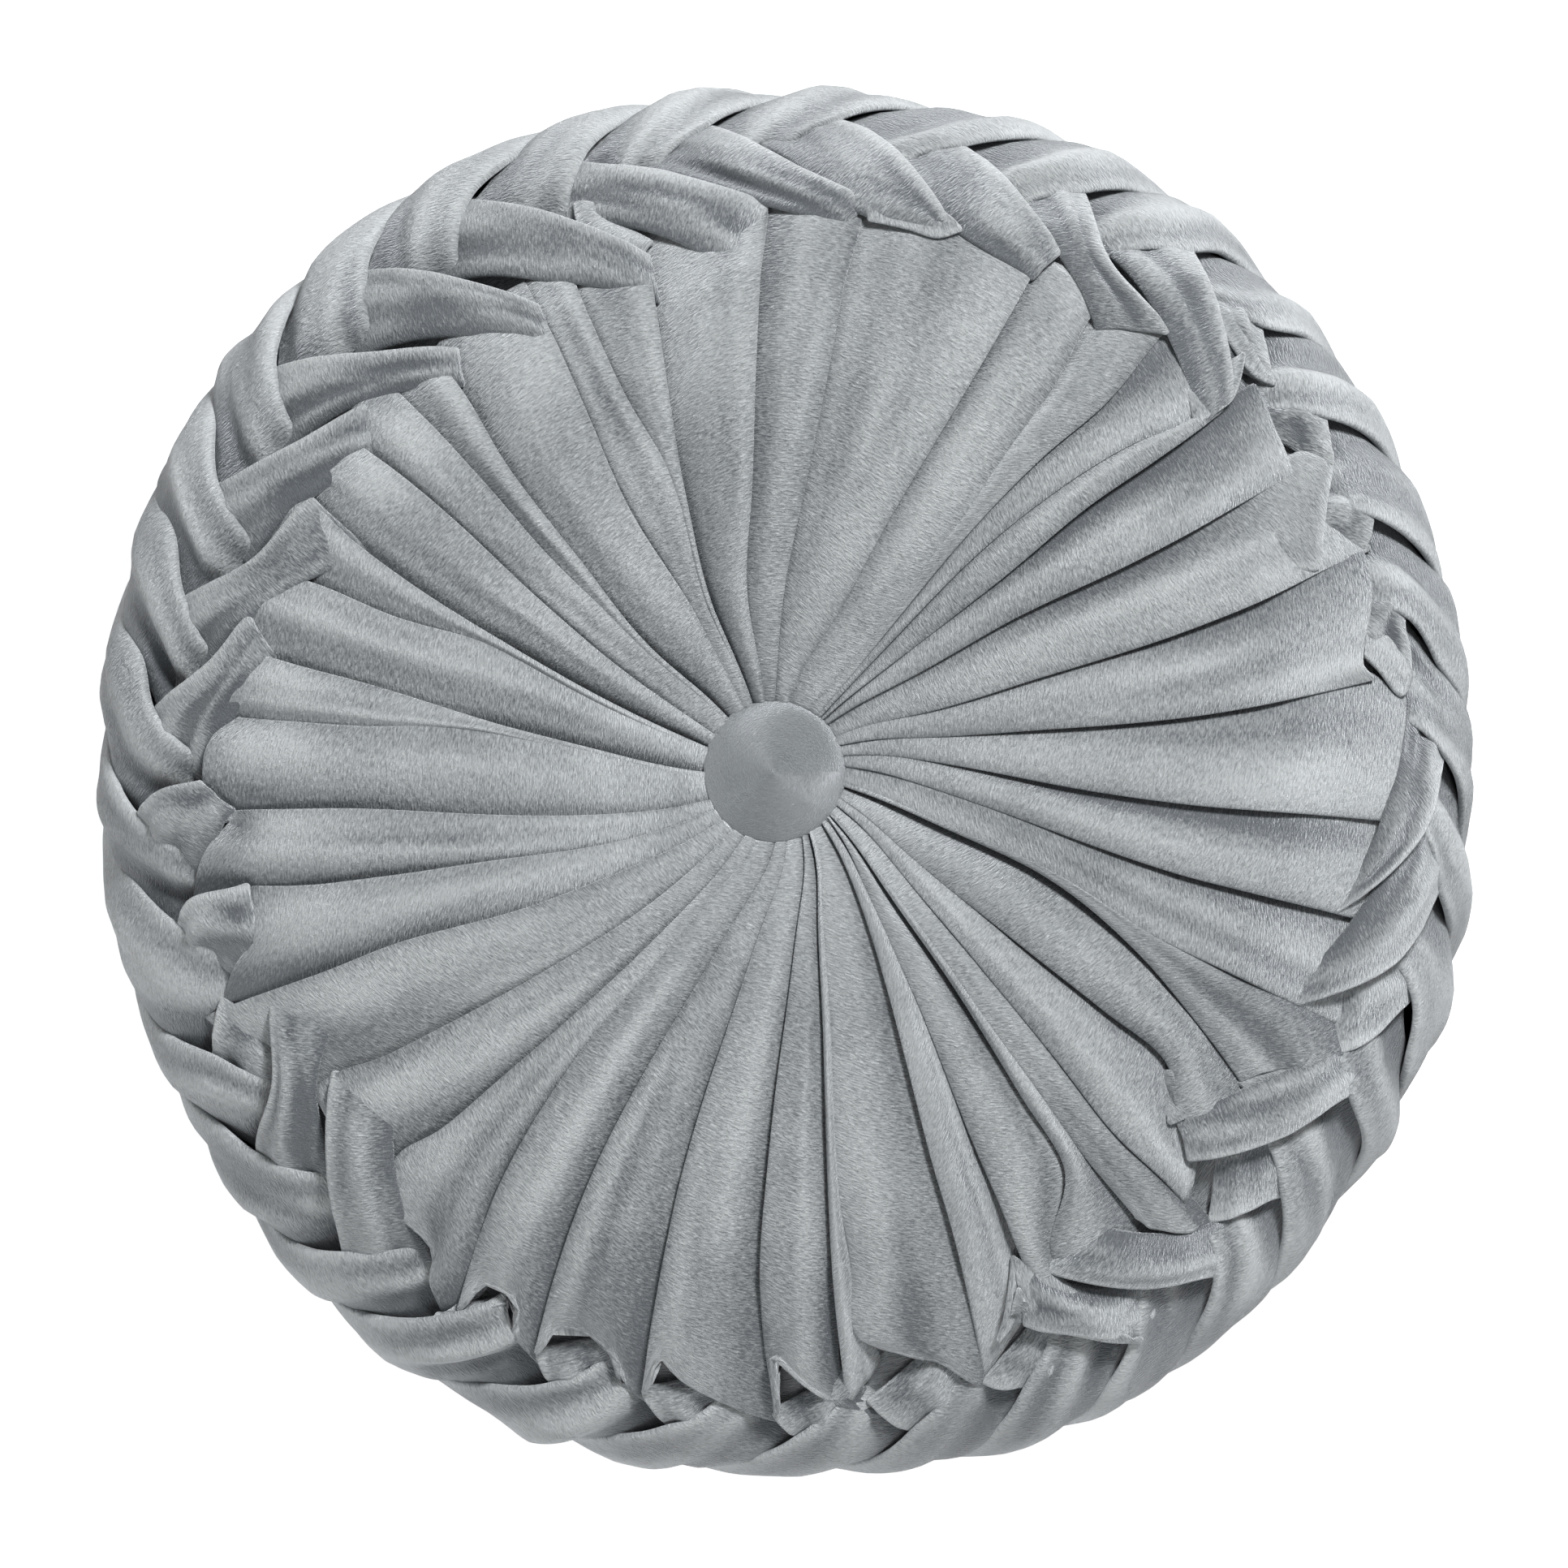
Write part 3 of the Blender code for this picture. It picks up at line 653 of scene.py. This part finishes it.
def add_weighted(tree, value, weight, more):
    """value * weight + more"""
    node = add_node(tree, "ShaderNodeMath", operation="MULTIPLY_ADD")
    node.inputs[1].default_value = weight
    tree.links.new(value, node.inputs[0])
    tree.links.new(more, node.inputs[2])
    return node.outputs[0]


def velvet(name, pile, shade, nap_run, nap_width):
    """Velvet: a mottled pile with short strokes of nap across the folds."""
    material = bpy.data.materials.new(name)
    material.use_nodes = True
    tree = material.node_tree
    link = tree.links.new
    shader = tree.nodes["Principled BSDF"]
    set_inputs(shader, {
        "Roughness": 0.50,
        "Specular IOR Level": 0.55,
        "Sheen Weight": 0.85,
        "Sheen Roughness": 0.40,
        "Sheen Tint": (0.92, 0.96, 1.0, 1.0),
    })

    cloth = add_node(tree, "ShaderNodeUVMap", uv_map="cloth")
    strokes_at = add_node(tree, "ShaderNodeMapping")
    strokes_at.inputs["Scale"].default_value = (1.0 / nap_width, 1.0 / nap_run, 1.0)
    link(cloth.outputs["UV"], strokes_at.inputs["Vector"])
    strokes = add_noise(tree, strokes_at.outputs["Vector"], {
        "Scale": 1.0,
        "Detail": 3.0,
        "Roughness": 0.65,
        "Distortion": 0.4,
    })
    place = add_node(tree, "ShaderNodeTexCoord")
    patches = add_noise(tree, place.outputs["Object"], {"Scale": 70.0, "Detail": 5.0, "Roughness": 0.6})

    # The mesh's tone attribute brings in the folds' painted shade and painted highlight, mixed with the
    # mottle and the nap.
    tone_and_painted_light = add_node(tree, "ShaderNodeAttribute", attribute_name="tone_and_painted_light")
    mottle_and_painted_light = add_weighted(tree, patches, PATCH_WEIGHT, tone_and_painted_light.outputs["Fac"])
    nap_mottle_and_painted_light = add_weighted(tree, strokes, STROKE_WEIGHT, mottle_and_painted_light)
    spread = add_node(tree, "ShaderNodeMapRange")
    set_inputs(spread, {"From Min": 0.86, "From Max": 1.90})
    link(nap_mottle_and_painted_light, spread.inputs["Value"])
    colour = add_node(tree, "ShaderNodeMix", data_type="RGBA")
    colour.inputs[6].default_value = (*shade, 1.0)
    colour.inputs[7].default_value = (*pile, 1.0)
    link(spread.outputs["Result"], colour.inputs[0])
    link(colour.outputs[2], shader.inputs["Base Color"])

    soft = add_node(tree, "ShaderNodeBump")
    set_inputs(soft, {"Strength": 0.35, "Distance": 0.0025})
    link(patches, soft.inputs["Height"])
    bump = add_node(tree, "ShaderNodeBump")
    set_inputs(bump, {"Strength": 1.0, "Distance": 0.0014})
    link(strokes, bump.inputs["Height"])
    link(soft.outputs["Normal"], bump.inputs["Normal"])
    link(bump.outputs["Normal"], shader.inputs["Normal"])
    return material


# The pile's light and dark colours. Besides the nap and mottle, the folds' painted shade pulls the cover
# towards the dark one and their painted highlight towards the light one.
PILE = (0.47, 0.494, 0.505)
SHADE = (0.095, 0.108, 0.121)
BUTTON_PILE = (0.31, 0.335, 0.35)
BUTTON_SHADE = (0.19, 0.208, 0.222)
cover_velvet = velvet("cover_velvet", PILE, SHADE, 2.0 * MM, 0.50 * MM)
button_velvet = velvet("button_velvet", BUTTON_PILE, BUTTON_SHADE, 0.7 * MM, 0.4 * MM)


# Painted light across a fold: painted shade, darker where it dives under its neighbour, a painted
# highlight, lighter along its lip, and on the middle bands a painted highlight across the middle too.
PAINTED_LIGHT_COLUMNS = ("share", "pleat", "middle band", "front band", "lappet")
PAINTED_LIGHT_TABLE = (
    (0.00, -0.60, -1.40, -0.70, -0.10),
    (0.15, -0.25, -1.00, -0.38, 0.10),
    (0.40, 0.06, -0.30, -0.32, 0.12),
    (0.62, 0.14, 0.05, -0.34, 0.00),
    (0.82, 0.18, -0.34, -0.12, -0.10),
    (0.92, 0.10, -0.10, 0.14, 0.10),
    (1.00, -0.08, 0.48, 0.45, 0.30),
)
# Painted highlight on ripples that rise and painted shade in those that sink, within the limits below.
RIPPLE_PAINTED_LIGHT = 0.40           # how much lighter the pile is for each mm that a ripple rises
DARKEST_RIPPLE_SHADE = -0.60
LIGHTEST_RIPPLE_HIGHLIGHT = 0.45


def painted_pile_light(ripple, kind):
    """Painted shade and painted highlight of a fold of this kind, across it and over its ripples."""
    table = np.array(PAINTED_LIGHT_TABLE)
    row = np.interp(ACROSS, table[:, 0], table[:, PAINTED_LIGHT_COLUMNS.index(kind)])
    return row + np.clip(RIPPLE_PAINTED_LIGHT * ripple / MM, DARKEST_RIPPLE_SHADE, LIGHTEST_RIPPLE_HIGHLIGHT)


# ---- front pleats ----
PLEAT_ROWS = 56
LIP_INSET = 0.9 * MM         # from a fold's edge to the middle of its roll
OVERLAP = 3.6 * MM           # how far a fold reaches under its neighbour
UNDER_BRAID = 8.0            # mm that a pleat runs on under the braid
DEEPEST_START = 176.0        # mm from the middle that it starts at most
BUTTON_EDGE = 17.0           # mm from the middle where it ends, under the button

# A pleat's outer end where it is folded up as a band.
HEAD_FREE = 6.0 * MM         # stands of its free and buried edges, and what is added to its crown
HEAD_BURIED = 3.4 * MM
HEAD_CROWN = 0.8 * MM
HEAD_LIFT = 0.22             # share of the pleat's length over which it settles to the pleat's stand
HEAD_BOW = 0.16              # the same for the bow of its edge
HEAD_POINT = 3.0             # mm that a lip starts further out where the edge has a pointed corner
HEAD_TURN = (1.1, 1.0)       # degrees and mm from the edge's end to where it turns to the point
EDGE_STEPS = 60

# A painted sheen highlight on the pile where the pleats swell beside the braid, with painted shade just
# outside it, most of all round the angle given below.
PAINTED_SHEEN = 0.55
PAINTED_SHEEN_ANGLE = 170.0
PAINTED_SHEEN_REACH = 50.0


def pleat_line(index, outer):
    """(angle, arc) points of one pleat's free edge, from under the braid to under the button."""
    lap, row = divmod(index, len(PLEATS))
    pleat = dict(zip(PLEAT_COLUMNS, PLEATS[row]))
    start_mm = pleat["start_mm"]
    angles = pleat["angles"]
    places = list(outer)
    if not places:
        places.append((pleat["start"], min(start_mm + UNDER_BRAID, DEEPEST_START)))
    if start_mm < places[0][1] - 2.0:
        places.append((pleat["start"], start_mm))
    places += list(zip(angles, PLEAT_RINGS))
    places.append((angles[-1] + 0.3 * (angles[-1] - angles[-2]), BUTTON_EDGE))
    return placed(places, 360.0 * lap)


def pointed_head(index, wrap):
    """The edge of a pleat's folded-up end, turned out to a point where its lip starts further out."""
    head = HEADS.get((index + 1) % len(PLEATS))
    if head is None:
        return None
    pleat = dict(zip(PLEAT_COLUMNS, PLEATS[index]))
    angle, mm = head[-1]
    if pleat["start_mm"] <= mm + HEAD_POINT:
        return head
    turned = (angle + HEAD_TURN[0], mm + HEAD_TURN[1])
    return head[:-1] + (turned, (pleat["start"] - wrap, pleat["start_mm"]))


def head_bow(head, wrap, first_left, first_right, ahead):
    """How far the rows of a folded-up end lie from straight ones, fading along the pleat."""
    edge = smooth_line(placed(head, wrap), EDGE_STEPS)
    even = np.linspace(0.0, 1.0, EDGE_STEPS)
    edge = np.stack([np.interp(ACROSS, even, edge[:, column]) for column in (0, 1)], axis=-1)
    straight = first_left + (first_right - first_left) * ACROSS[:, None]
    fade = np.clip(1.0 - ahead / HEAD_BOW, 0.0, 1.0)[:, None, None] ** 1.5
    return (edge - straight)[None] * fade


def pleat_ripple(seen, along, phase):
    """Long waves, a hollow beside the braid and creases."""
    hollow = bell(seen, 138.0, 16.0)
    ripple = 0.35 * MM * wave(ACROSS * 1.1 + 0.5 * along, phase[0]) * np.clip(seen / 110.0, 0.1, 1.0)
    ripple = ripple + 0.25 * MM * wave(2.3 * along, phase[1]) * ACROSS
    ripple = ripple - 0.7 * MM * hollow * bell(ACROSS - 0.35, 0.2 * phase[2], 0.2)
    return ripple + creases(along, "pleat") * np.clip((seen - 25.0) / 70.0, 0.0, 1.0)


def painted_pleat_sheen(seen, angle, phase):
    """Painted sheen highlight where the pleat swells beside the braid, and painted shade just beyond it.
    """
    painted_sheen = PAINTED_SHEEN * bell(angle, PAINTED_SHEEN_ANGLE, PAINTED_SHEEN_REACH) * (0.6 + 0.8 * phase[0])
    swell = bell(seen, 132.0, 11.0) - 0.8 * bell(seen, 150.0, 7.0)
    return painted_sheen * swell * bell(ACROSS, 0.7, 0.3)


def front_pleats():
    cloth = Cloth()
    ahead = np.linspace(0.0, 1.0, PLEAT_ROWS)
    for index in range(len(PLEATS)):
        wrap = 360.0 if index + 1 == len(PLEATS) else 0.0
        head = pointed_head(index, wrap)
        left_start, right_start = [], []
        if head is not None:
            left_start = [head[0]]
            right_start = [(head[-1][0] + wrap, head[-1][1])]
        right = smooth_line(pleat_line(index, right_start), PLEAT_ROWS)
        left = smooth_line(pleat_line(index + 1, left_start), PLEAT_ROWS)
        beyond = smooth_line(pleat_line(index + 2, []), PLEAT_ROWS)
        right[:, 0] += degrees_across(LIP_INSET, right[:, 1])
        room = 0.55 * np.abs(beyond[:, 0] - left[:, 0]) + 0.6
        left[:, 0] += np.minimum(degrees_across(OVERLAP, left[:, 1]), room)
        seen = padding.read(padding.radius, right[:, 1]) / MM
        free, buried, crown, roll = stands_at(PLEAT_STAND, seen)
        free = free + 2.0 * roll
        buried = buried + 2.0 * roll
        bow = None
        if head is not None:
            bow = head_bow(head, wrap, left[0], right[0], ahead)
            lift = np.clip(1.0 - ahead / HEAD_LIFT, 0.0, 1.0)
            free = free + (HEAD_FREE - free) * lift
            buried = buried + (HEAD_BURIED - buried) * lift
            crown = crown + HEAD_CROWN * lift
        phase = random.random(4)
        ripple = pleat_ripple(seen[:, None], ahead[:, None], phase)
        grid = sleeve_grid(left, right, free, buried, crown, ripple, bow)
        tone_and_painted_light = painted_pile_light(ripple, "pleat") + 0.16 * (phase[3] - 0.5)
        # Painted sheen highlight beside the braid.
        tone_and_painted_light = tone_and_painted_light + painted_pleat_sheen(seen[:, None], right[0, 0], phase)
        cloth.sleeve(grid, roll, tone_and_painted_light, (0.31 * index, 0.17 * index), (head is not None, False))
    return cloth.finish("front_pleats", cover_velvet)


# ---- braid ----
def knot_point(index):
    """(angle, arc) of the knot where a front band starts and a middle band crosses it."""
    lap, row = divmod(index, len(BANDS))
    return placed([BANDS[row][0]], 360.0 * lap)[0]


def back_knot(index):
    return knot_point(index) + np.array((MIDDLE_LEAN, -MIDDLE_DROP))


def back_tip(index):
    return back_knot(index) + np.array((BACK_LEAN, -BACK_DROP))


def middle_edge(index, with_inner=True):
    """(angle, arc) points of a middle band's free edge, front to back."""
    lap, row = divmod(index, len(MIDDLES))
    inner, outer = placed(MIDDLES[row], 360.0 * lap)
    knot = knot_point(index)
    end = back_knot(index)
    halfway = outer + (end - outer) * 0.45 + np.array((0.6, 0.0))
    lead = [knot + np.array((1.2, 4.5 * MM))]
    if with_inner:
        lead = [inner + (inner - knot) * 0.10 + np.array((0.0, 2.5 * MM)), inner]
    return np.array((*lead, knot, outer, halfway, end))


def run_fade(run):
    """1 along most of a band, and 0 at its two ends."""
    return np.clip(6.0 * run * (1.0 - run), 0.0, 1.0)


MIDDLE_ROWS = 54
MIDDLE_OVERLAP = 2.0         # degrees that a middle band reaches under its neighbour


def middle_bands():
    cloth = Cloth()
    at = np.linspace(0.0, 1.0, MIDDLE_ROWS)
    run = at[:, None]
    free, buried, crown, roll = stands_at(MIDDLE_STAND, at)
    rim = np.clip((ACROSS - 0.9) / 0.1, 0.0, 1.0) ** 2
    for index in range(len(MIDDLES)):
        right = smooth_line(middle_edge(index), MIDDLE_ROWS)
        left = smooth_line(middle_edge(index + 1, False), MIDDLE_ROWS)
        left[:, 0] += MIDDLE_OVERLAP * np.clip(at * 6.0, 0.35, 1.0)
        phase = random.random(5)
        ripple = fold_ridges(run, phase, 1.4)
        ripple = ripple + 0.35 * MM * wave(run * 1.7 + 0.4 * ACROSS, phase[1])
        ripple = ripple + creases(run, "middle band") * run_fade(run)
        ripple = ripple - 0.5 * MM * rim
        grid = sleeve_grid(left, right, free, buried, crown, ripple, None, 1.0)
        tone_and_painted_light = painted_pile_light(ripple, "middle band") + 0.20 * (phase[3] - 0.5)
        # Painted shade: the band is darker towards its inner end, where it dives under the front band.
        tone_and_painted_light = tone_and_painted_light + 0.12 * np.clip(run - 0.15, 0.0, 0.6)
        cloth.sleeve(grid, roll, tone_and_painted_light, (0.29 * index, 3.0 + 0.13 * index), (False, True))
    return cloth.finish("middle_bands", cover_velvet)


BAND_ROWS = 40
BAND_UNDER = np.array((1.0, -5.0 * MM))          # from the knot to the outer edge's hidden start
BAND_BURIED = np.array((1.8, -4.0 * MM))         # from the middle band's end to the inner edge's start
FACET_SPREAD = np.array(((2.4, 2.0 * MM), (2.6, 5.0 * MM)))   # a facet's inner edge, low and heel
TIP_SINK = 2.2 * MM          # how far the tip's two edges sink where it runs out into a pleat
HEEL_SINK = 3.4 * MM


def front_bands():
    cloth = Cloth()
    at = np.linspace(0.0, 1.0, BAND_ROWS)
    run = at[:, None]
    for index, row in enumerate(BANDS):
        band = dict(zip(BAND_COLUMNS, row))
        outer_edge = placed((band["knot"], band["mid"], band["tip"]))
        right = smooth_line(np.vstack((outer_edge[0] + BAND_UNDER, outer_edge)), BAND_ROWS)
        inner_edge = placed((band["low"], band["heel"]))
        if index in FACETS:
            inner_edge += FACET_SPREAD
        buried_start = placed([MIDDLES[index][0]])[0] + BAND_BURIED
        left = smooth_line(np.vstack((buried_start, inner_edge)), BAND_ROWS)
        free, buried, crown, roll = stands_at(FACET_STAND if index in FACETS else BAND_STAND, at)
        fade = np.clip((at - 0.6) / 0.4, 0.0, 1.0) ** 1.5 * band["sink"]
        free = free + 2.0 * roll - TIP_SINK * fade
        buried = buried + 2.0 * roll - HEEL_SINK * fade
        phase = random.random(5)
        ripple = fold_ridges(run, phase, 1.3)
        ripple = ripple + 0.3 * MM * wave(run * 1.3 + 0.5 * ACROSS, phase[1])
        ripple = ripple * (1.0 - 0.7 * run ** 6)
        ripple = ripple + creases(run, "front band") * run_fade(run)
        grid = sleeve_grid(left, right, free, buried, crown, ripple, None, 1.25)
        tone_and_painted_light = painted_pile_light(ripple, "front band") + 0.20 * (phase[3] - 0.5)
        cloth.sleeve(grid, roll, tone_and_painted_light, (0.37 * index, 6.0 + 0.11 * index), (False, True))
    add_lappets(cloth)
    return cloth.finish("front_bands", cover_velvet)


LAPPET_ROWS = 18
LAPPET_ROLL = 1.0 * MM
LAPPET_CROWN = 0.8 * MM


def add_lappets(cloth):
    """The small turned-over ends, which belong to the front bands."""
    run = np.linspace(0.0, 1.0, LAPPET_ROWS)[:, None]
    level = np.ones(LAPPET_ROWS)
    for index, row in enumerate(LAPPETS):
        lappet = dict(zip(LAPPET_COLUMNS, row))
        right = smooth_line(placed(lappet["free edge"]), LAPPET_ROWS)
        left = smooth_line(placed(lappet["fold"]), LAPPET_ROWS)
        free = lappet["free stand"] * MM * level
        buried = lappet["fold stand"] * MM * level
        ripple = creases(run, "lappet")
        grid = sleeve_grid(left, right, free, buried, LAPPET_CROWN * level, ripple, None, 2.0)
        tone_and_painted_light = painted_pile_light(ripple, "lappet")
        cloth.sleeve(grid, LAPPET_ROLL * level, tone_and_painted_light, (0.23 * index, 8.0 + 0.17 * index), (True, True))


BACK_ROWS = 30
BACK_OVERLAP = 1.8           # degrees that a back band reaches under its neighbour


def back_edge(index):
    """(angle, arc) rows of a back band's free edge, from the knot to the tip."""
    start = back_knot(index)
    end = back_tip(index)
    lead = start + np.array((-1.0, 5.0 * MM))
    halfway = 0.5 * (start + end) + np.array((0.5, 0.0))
    return smooth_line(np.array((lead, start, halfway, end)), BACK_ROWS)


def back_bands():
    cloth = Cloth()
    at = np.linspace(0.0, 1.0, BACK_ROWS)
    free, buried, crown, roll = stands_at(BACK_BAND_STAND, at)
    for index in range(len(BANDS)):
        right = back_edge(index)
        left = back_edge(index + 1)
        left[:, 0] += BACK_OVERLAP
        phase = random.random(3)
        ripple = 0.3 * MM * wave(ACROSS * 1.4 + 0.4 * at[:, None], phase[0])
        grid = sleeve_grid(left, right, free, buried, crown, ripple)
        tone_and_painted_light = painted_pile_light(ripple, "middle band") + 0.12 * (phase[1] - 0.5)
        cloth.sleeve(grid, roll, tone_and_painted_light, (0.33 * index, 9.0 + 0.19 * index), (False, True))
    return cloth.finish("back_bands", cover_velvet)


BACK_PLEAT_ROWS = 44
BACK_PLEAT_START = 8.0 * MM  # how far a back pleat starts under the back band's tip
MOST_OVERLAP = 5.0           # degrees that a back pleat reaches under its neighbour at most


def back_pleat_edge(index, at):
    """(angle, arc) rows of a back pleat's free edge, from the braid to under the button."""
    angle, arc = back_tip(index) + np.array((0.0, BACK_PLEAT_START))
    inner_arc = padding.back_arc(BUTTON_EDGE * MM)
    swirl = BACK_SWIRL * (0.3 * at + 0.7 * at ** 3.0)
    return np.stack((angle + swirl, arc + (inner_arc - arc) * at), axis=-1)


def back_pleats():
    cloth = Cloth()
    at = np.linspace(0.0, 1.0, BACK_PLEAT_ROWS)
    for index in range(len(BANDS)):
        right = back_pleat_edge(index, at)
        left = back_pleat_edge(index + 1, at)
        left[:, 0] += np.minimum(degrees_across(OVERLAP, left[:, 1]), MOST_OVERLAP)
        seen = padding.read(padding.radius, right[:, 1]) / MM
        free, buried, crown, roll = stands_at(PLEAT_STAND, seen)
        phase = random.random(2)
        ripple = 0.2 * MM * wave(ACROSS + 0.5 * at[:, None], phase[0])
        grid = sleeve_grid(left, right, free, buried, crown, ripple)
        tone_and_painted_light = painted_pile_light(ripple, "pleat") + 0.12 * (phase[1] - 0.5)
        cloth.sleeve(grid, roll, tone_and_painted_light, (0.41 * index, 12.0 + 0.23 * index), (False, False))
    return cloth.finish("back_pleats", cover_velvet)


GROUND_TURNS = 180
GROUND_ROWS = 90
GROUND_SINK = 0.8 * MM       # how far it lies in the padding
GROUND_SPAN = 0.93           # share of the section that it covers, up to under the buttons
# Painted shade on the cloth at the bottom of the folds.
GROUND_PAINTED_SHADE = -0.25


def under_cover():
    """The cover's own cloth at the bottom of the folds, painted darker as shade."""
    span = padding.arc[-1] * GROUND_SPAN
    arcs = np.linspace(span, -span, GROUND_ROWS)
    angle, arc = np.meshgrid(np.arange(GROUND_TURNS) * 360.0 / GROUND_TURNS, arcs)
    points = over_padding(angle, arc, -GROUND_SINK)
    cloth = Cloth()
    cloth.add_rings(points, np.full(points.shape[:2], GROUND_PAINTED_SHADE), (0.0, 15.0))
    return cloth.finish("cover_ground", cover_velvet)


# ---- buttons ----
BUTTON_TURNS = 144
DOME_STEPS = 18
DOME_ROUNDNESS = 0.86        # under 1 gives the dome fuller shoulders
DOME_START = 0.40            # share of the height where the side turns into the dome
BUTTON_EYE = 0.035           # radius of the last ring, as a share of the button's
# The drawn-in underside and side, as shares of the radius and the height.
BUTTON_SIDE = ((0.60, 0.02), (0.80, 0.04), (0.92, 0.12), (0.985, 0.26))


def covered_button(name, low, high, facing):
    """A domed button with its velvet drawn over the edge in small puckers."""
    centre_x = 0.5 * (low.x + high.x)
    centre_y = 0.5 * (low.y + high.y)
    dome = high.z - low.z
    base = low.z if facing > 0 else high.z
    profile = list(BUTTON_SIDE)
    for step in range(DOME_STEPS + 1):
        turn = 0.5 * math.pi * step / DOME_STEPS
        share = max(math.cos(turn) ** DOME_ROUNDNESS, BUTTON_EYE)
        profile.append((share, DOME_START + (1.0 - DOME_START) * math.sin(turn)))
    angle = np.arange(BUTTON_TURNS) * 2.0 * np.pi / BUTTON_TURNS
    pucker = 0.010 * np.sin(angle * 23 + 0.7) + 0.006 * np.sin(angle * 37 + 2.0)
    uneven = 0.012 * np.sin(2 * angle + 0.4) + 0.008 * np.sin(3 * angle + 1.9)
    rings = []
    for share, rise in profile:
        edge = bell(rise, 0.30, 0.16)
        radius = BUTTON_RADIUS * share * (0.992 + pucker * edge)
        height = base + facing * dome * (rise + uneven * share * rise * (1 - share))
        x = centre_x + radius * np.cos(angle)
        y = centre_y + radius * np.sin(angle)
        rings.append(np.stack((x, y, height), axis=-1))
    cloth = Cloth()
    cloth.add_rings(np.array(rings), np.zeros((len(rings), BUTTON_TURNS)), (0.0, 18.0))
    return cloth.finish(name, button_velvet)


pieces = [under_cover(), back_pleats(), back_bands(), front_pleats(), front_bands(), middle_bands()]
front_button = covered_button("front_button_cover", button_low, button_high, 1.0)
back_button = covered_button("back_button_cover", back_button_low, back_button_high, -1.0)

for piece in pieces:
    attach(piece, "root")
    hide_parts("cushion")
for piece, node in ((front_button, "front_button"), (back_button, "back_button")):
    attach(piece, "root")
    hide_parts(node)

# ---- floor, light and camera ----
FLOOR_CORNERS = ((-6.0, -6.0, 0.0), (6.0, -6.0, 0.0), (6.0, 6.0, 0.0), (-6.0, 6.0, 0.0))
floor_mesh = bpy.data.meshes.new("floor")
floor_mesh.from_pydata(FLOOR_CORNERS, [], [(0, 1, 2, 3)])
floor = add_object("floor", floor_mesh)
floor_paint = bpy.data.materials.new("floor_paint")
floor_paint.use_nodes = True
set_inputs(floor_paint.node_tree.nodes["Principled BSDF"], {
    "Base Color": (0.62, 0.62, 0.62, 1.0),
    "Roughness": 0.9,
    "Specular IOR Level": 0.1,
    "Emission Color": (1.0, 1.0, 1.0, 1.0),
    "Emission Strength": 0.78,
})
floor_mesh.materials.append(floor_paint)

world = bpy.data.worlds.new("studio")
bpy.context.scene.world = world
world.use_nodes = True
set_inputs(world.node_tree.nodes["Background"], {"Color": (1.0, 1.0, 1.0, 1.0), "Strength": 0.205})


def area_light(name, place, size, watts):
    light = bpy.data.lights.new(name, "AREA")
    light.shape = "SQUARE"
    light.size = size
    light.energy = watts
    lamp = add_object(name, light)
    lamp.location = place
    aim = -lamp.location.normalized()
    lamp.rotation_euler = aim.to_track_quat("-Z", "Y").to_euler()


area_light("key", (0.55, 0.95, 1.7), 0.38, 46.0)
area_light("fill", (-0.4, -1.5, 1.2), 1.2, 14.0)

FRAME_WIDTH = 0.4279         # width that the camera takes in at the widest ring
camera_data = bpy.data.cameras.new("camera")
camera_data.sensor_width = 36.0
camera_data.lens = camera_data.sensor_width * VIEW_DISTANCE / FRAME_WIDTH
camera_data.clip_end = 50.0
camera = add_object("camera", camera_data)
camera.location = (0.2 * MM, -1.4 * MM, WIDEST_RING_HEIGHT + VIEW_DISTANCE)
bpy.context.scene.camera = camera
bpy.context.scene.view_settings.view_transform = "Standard"
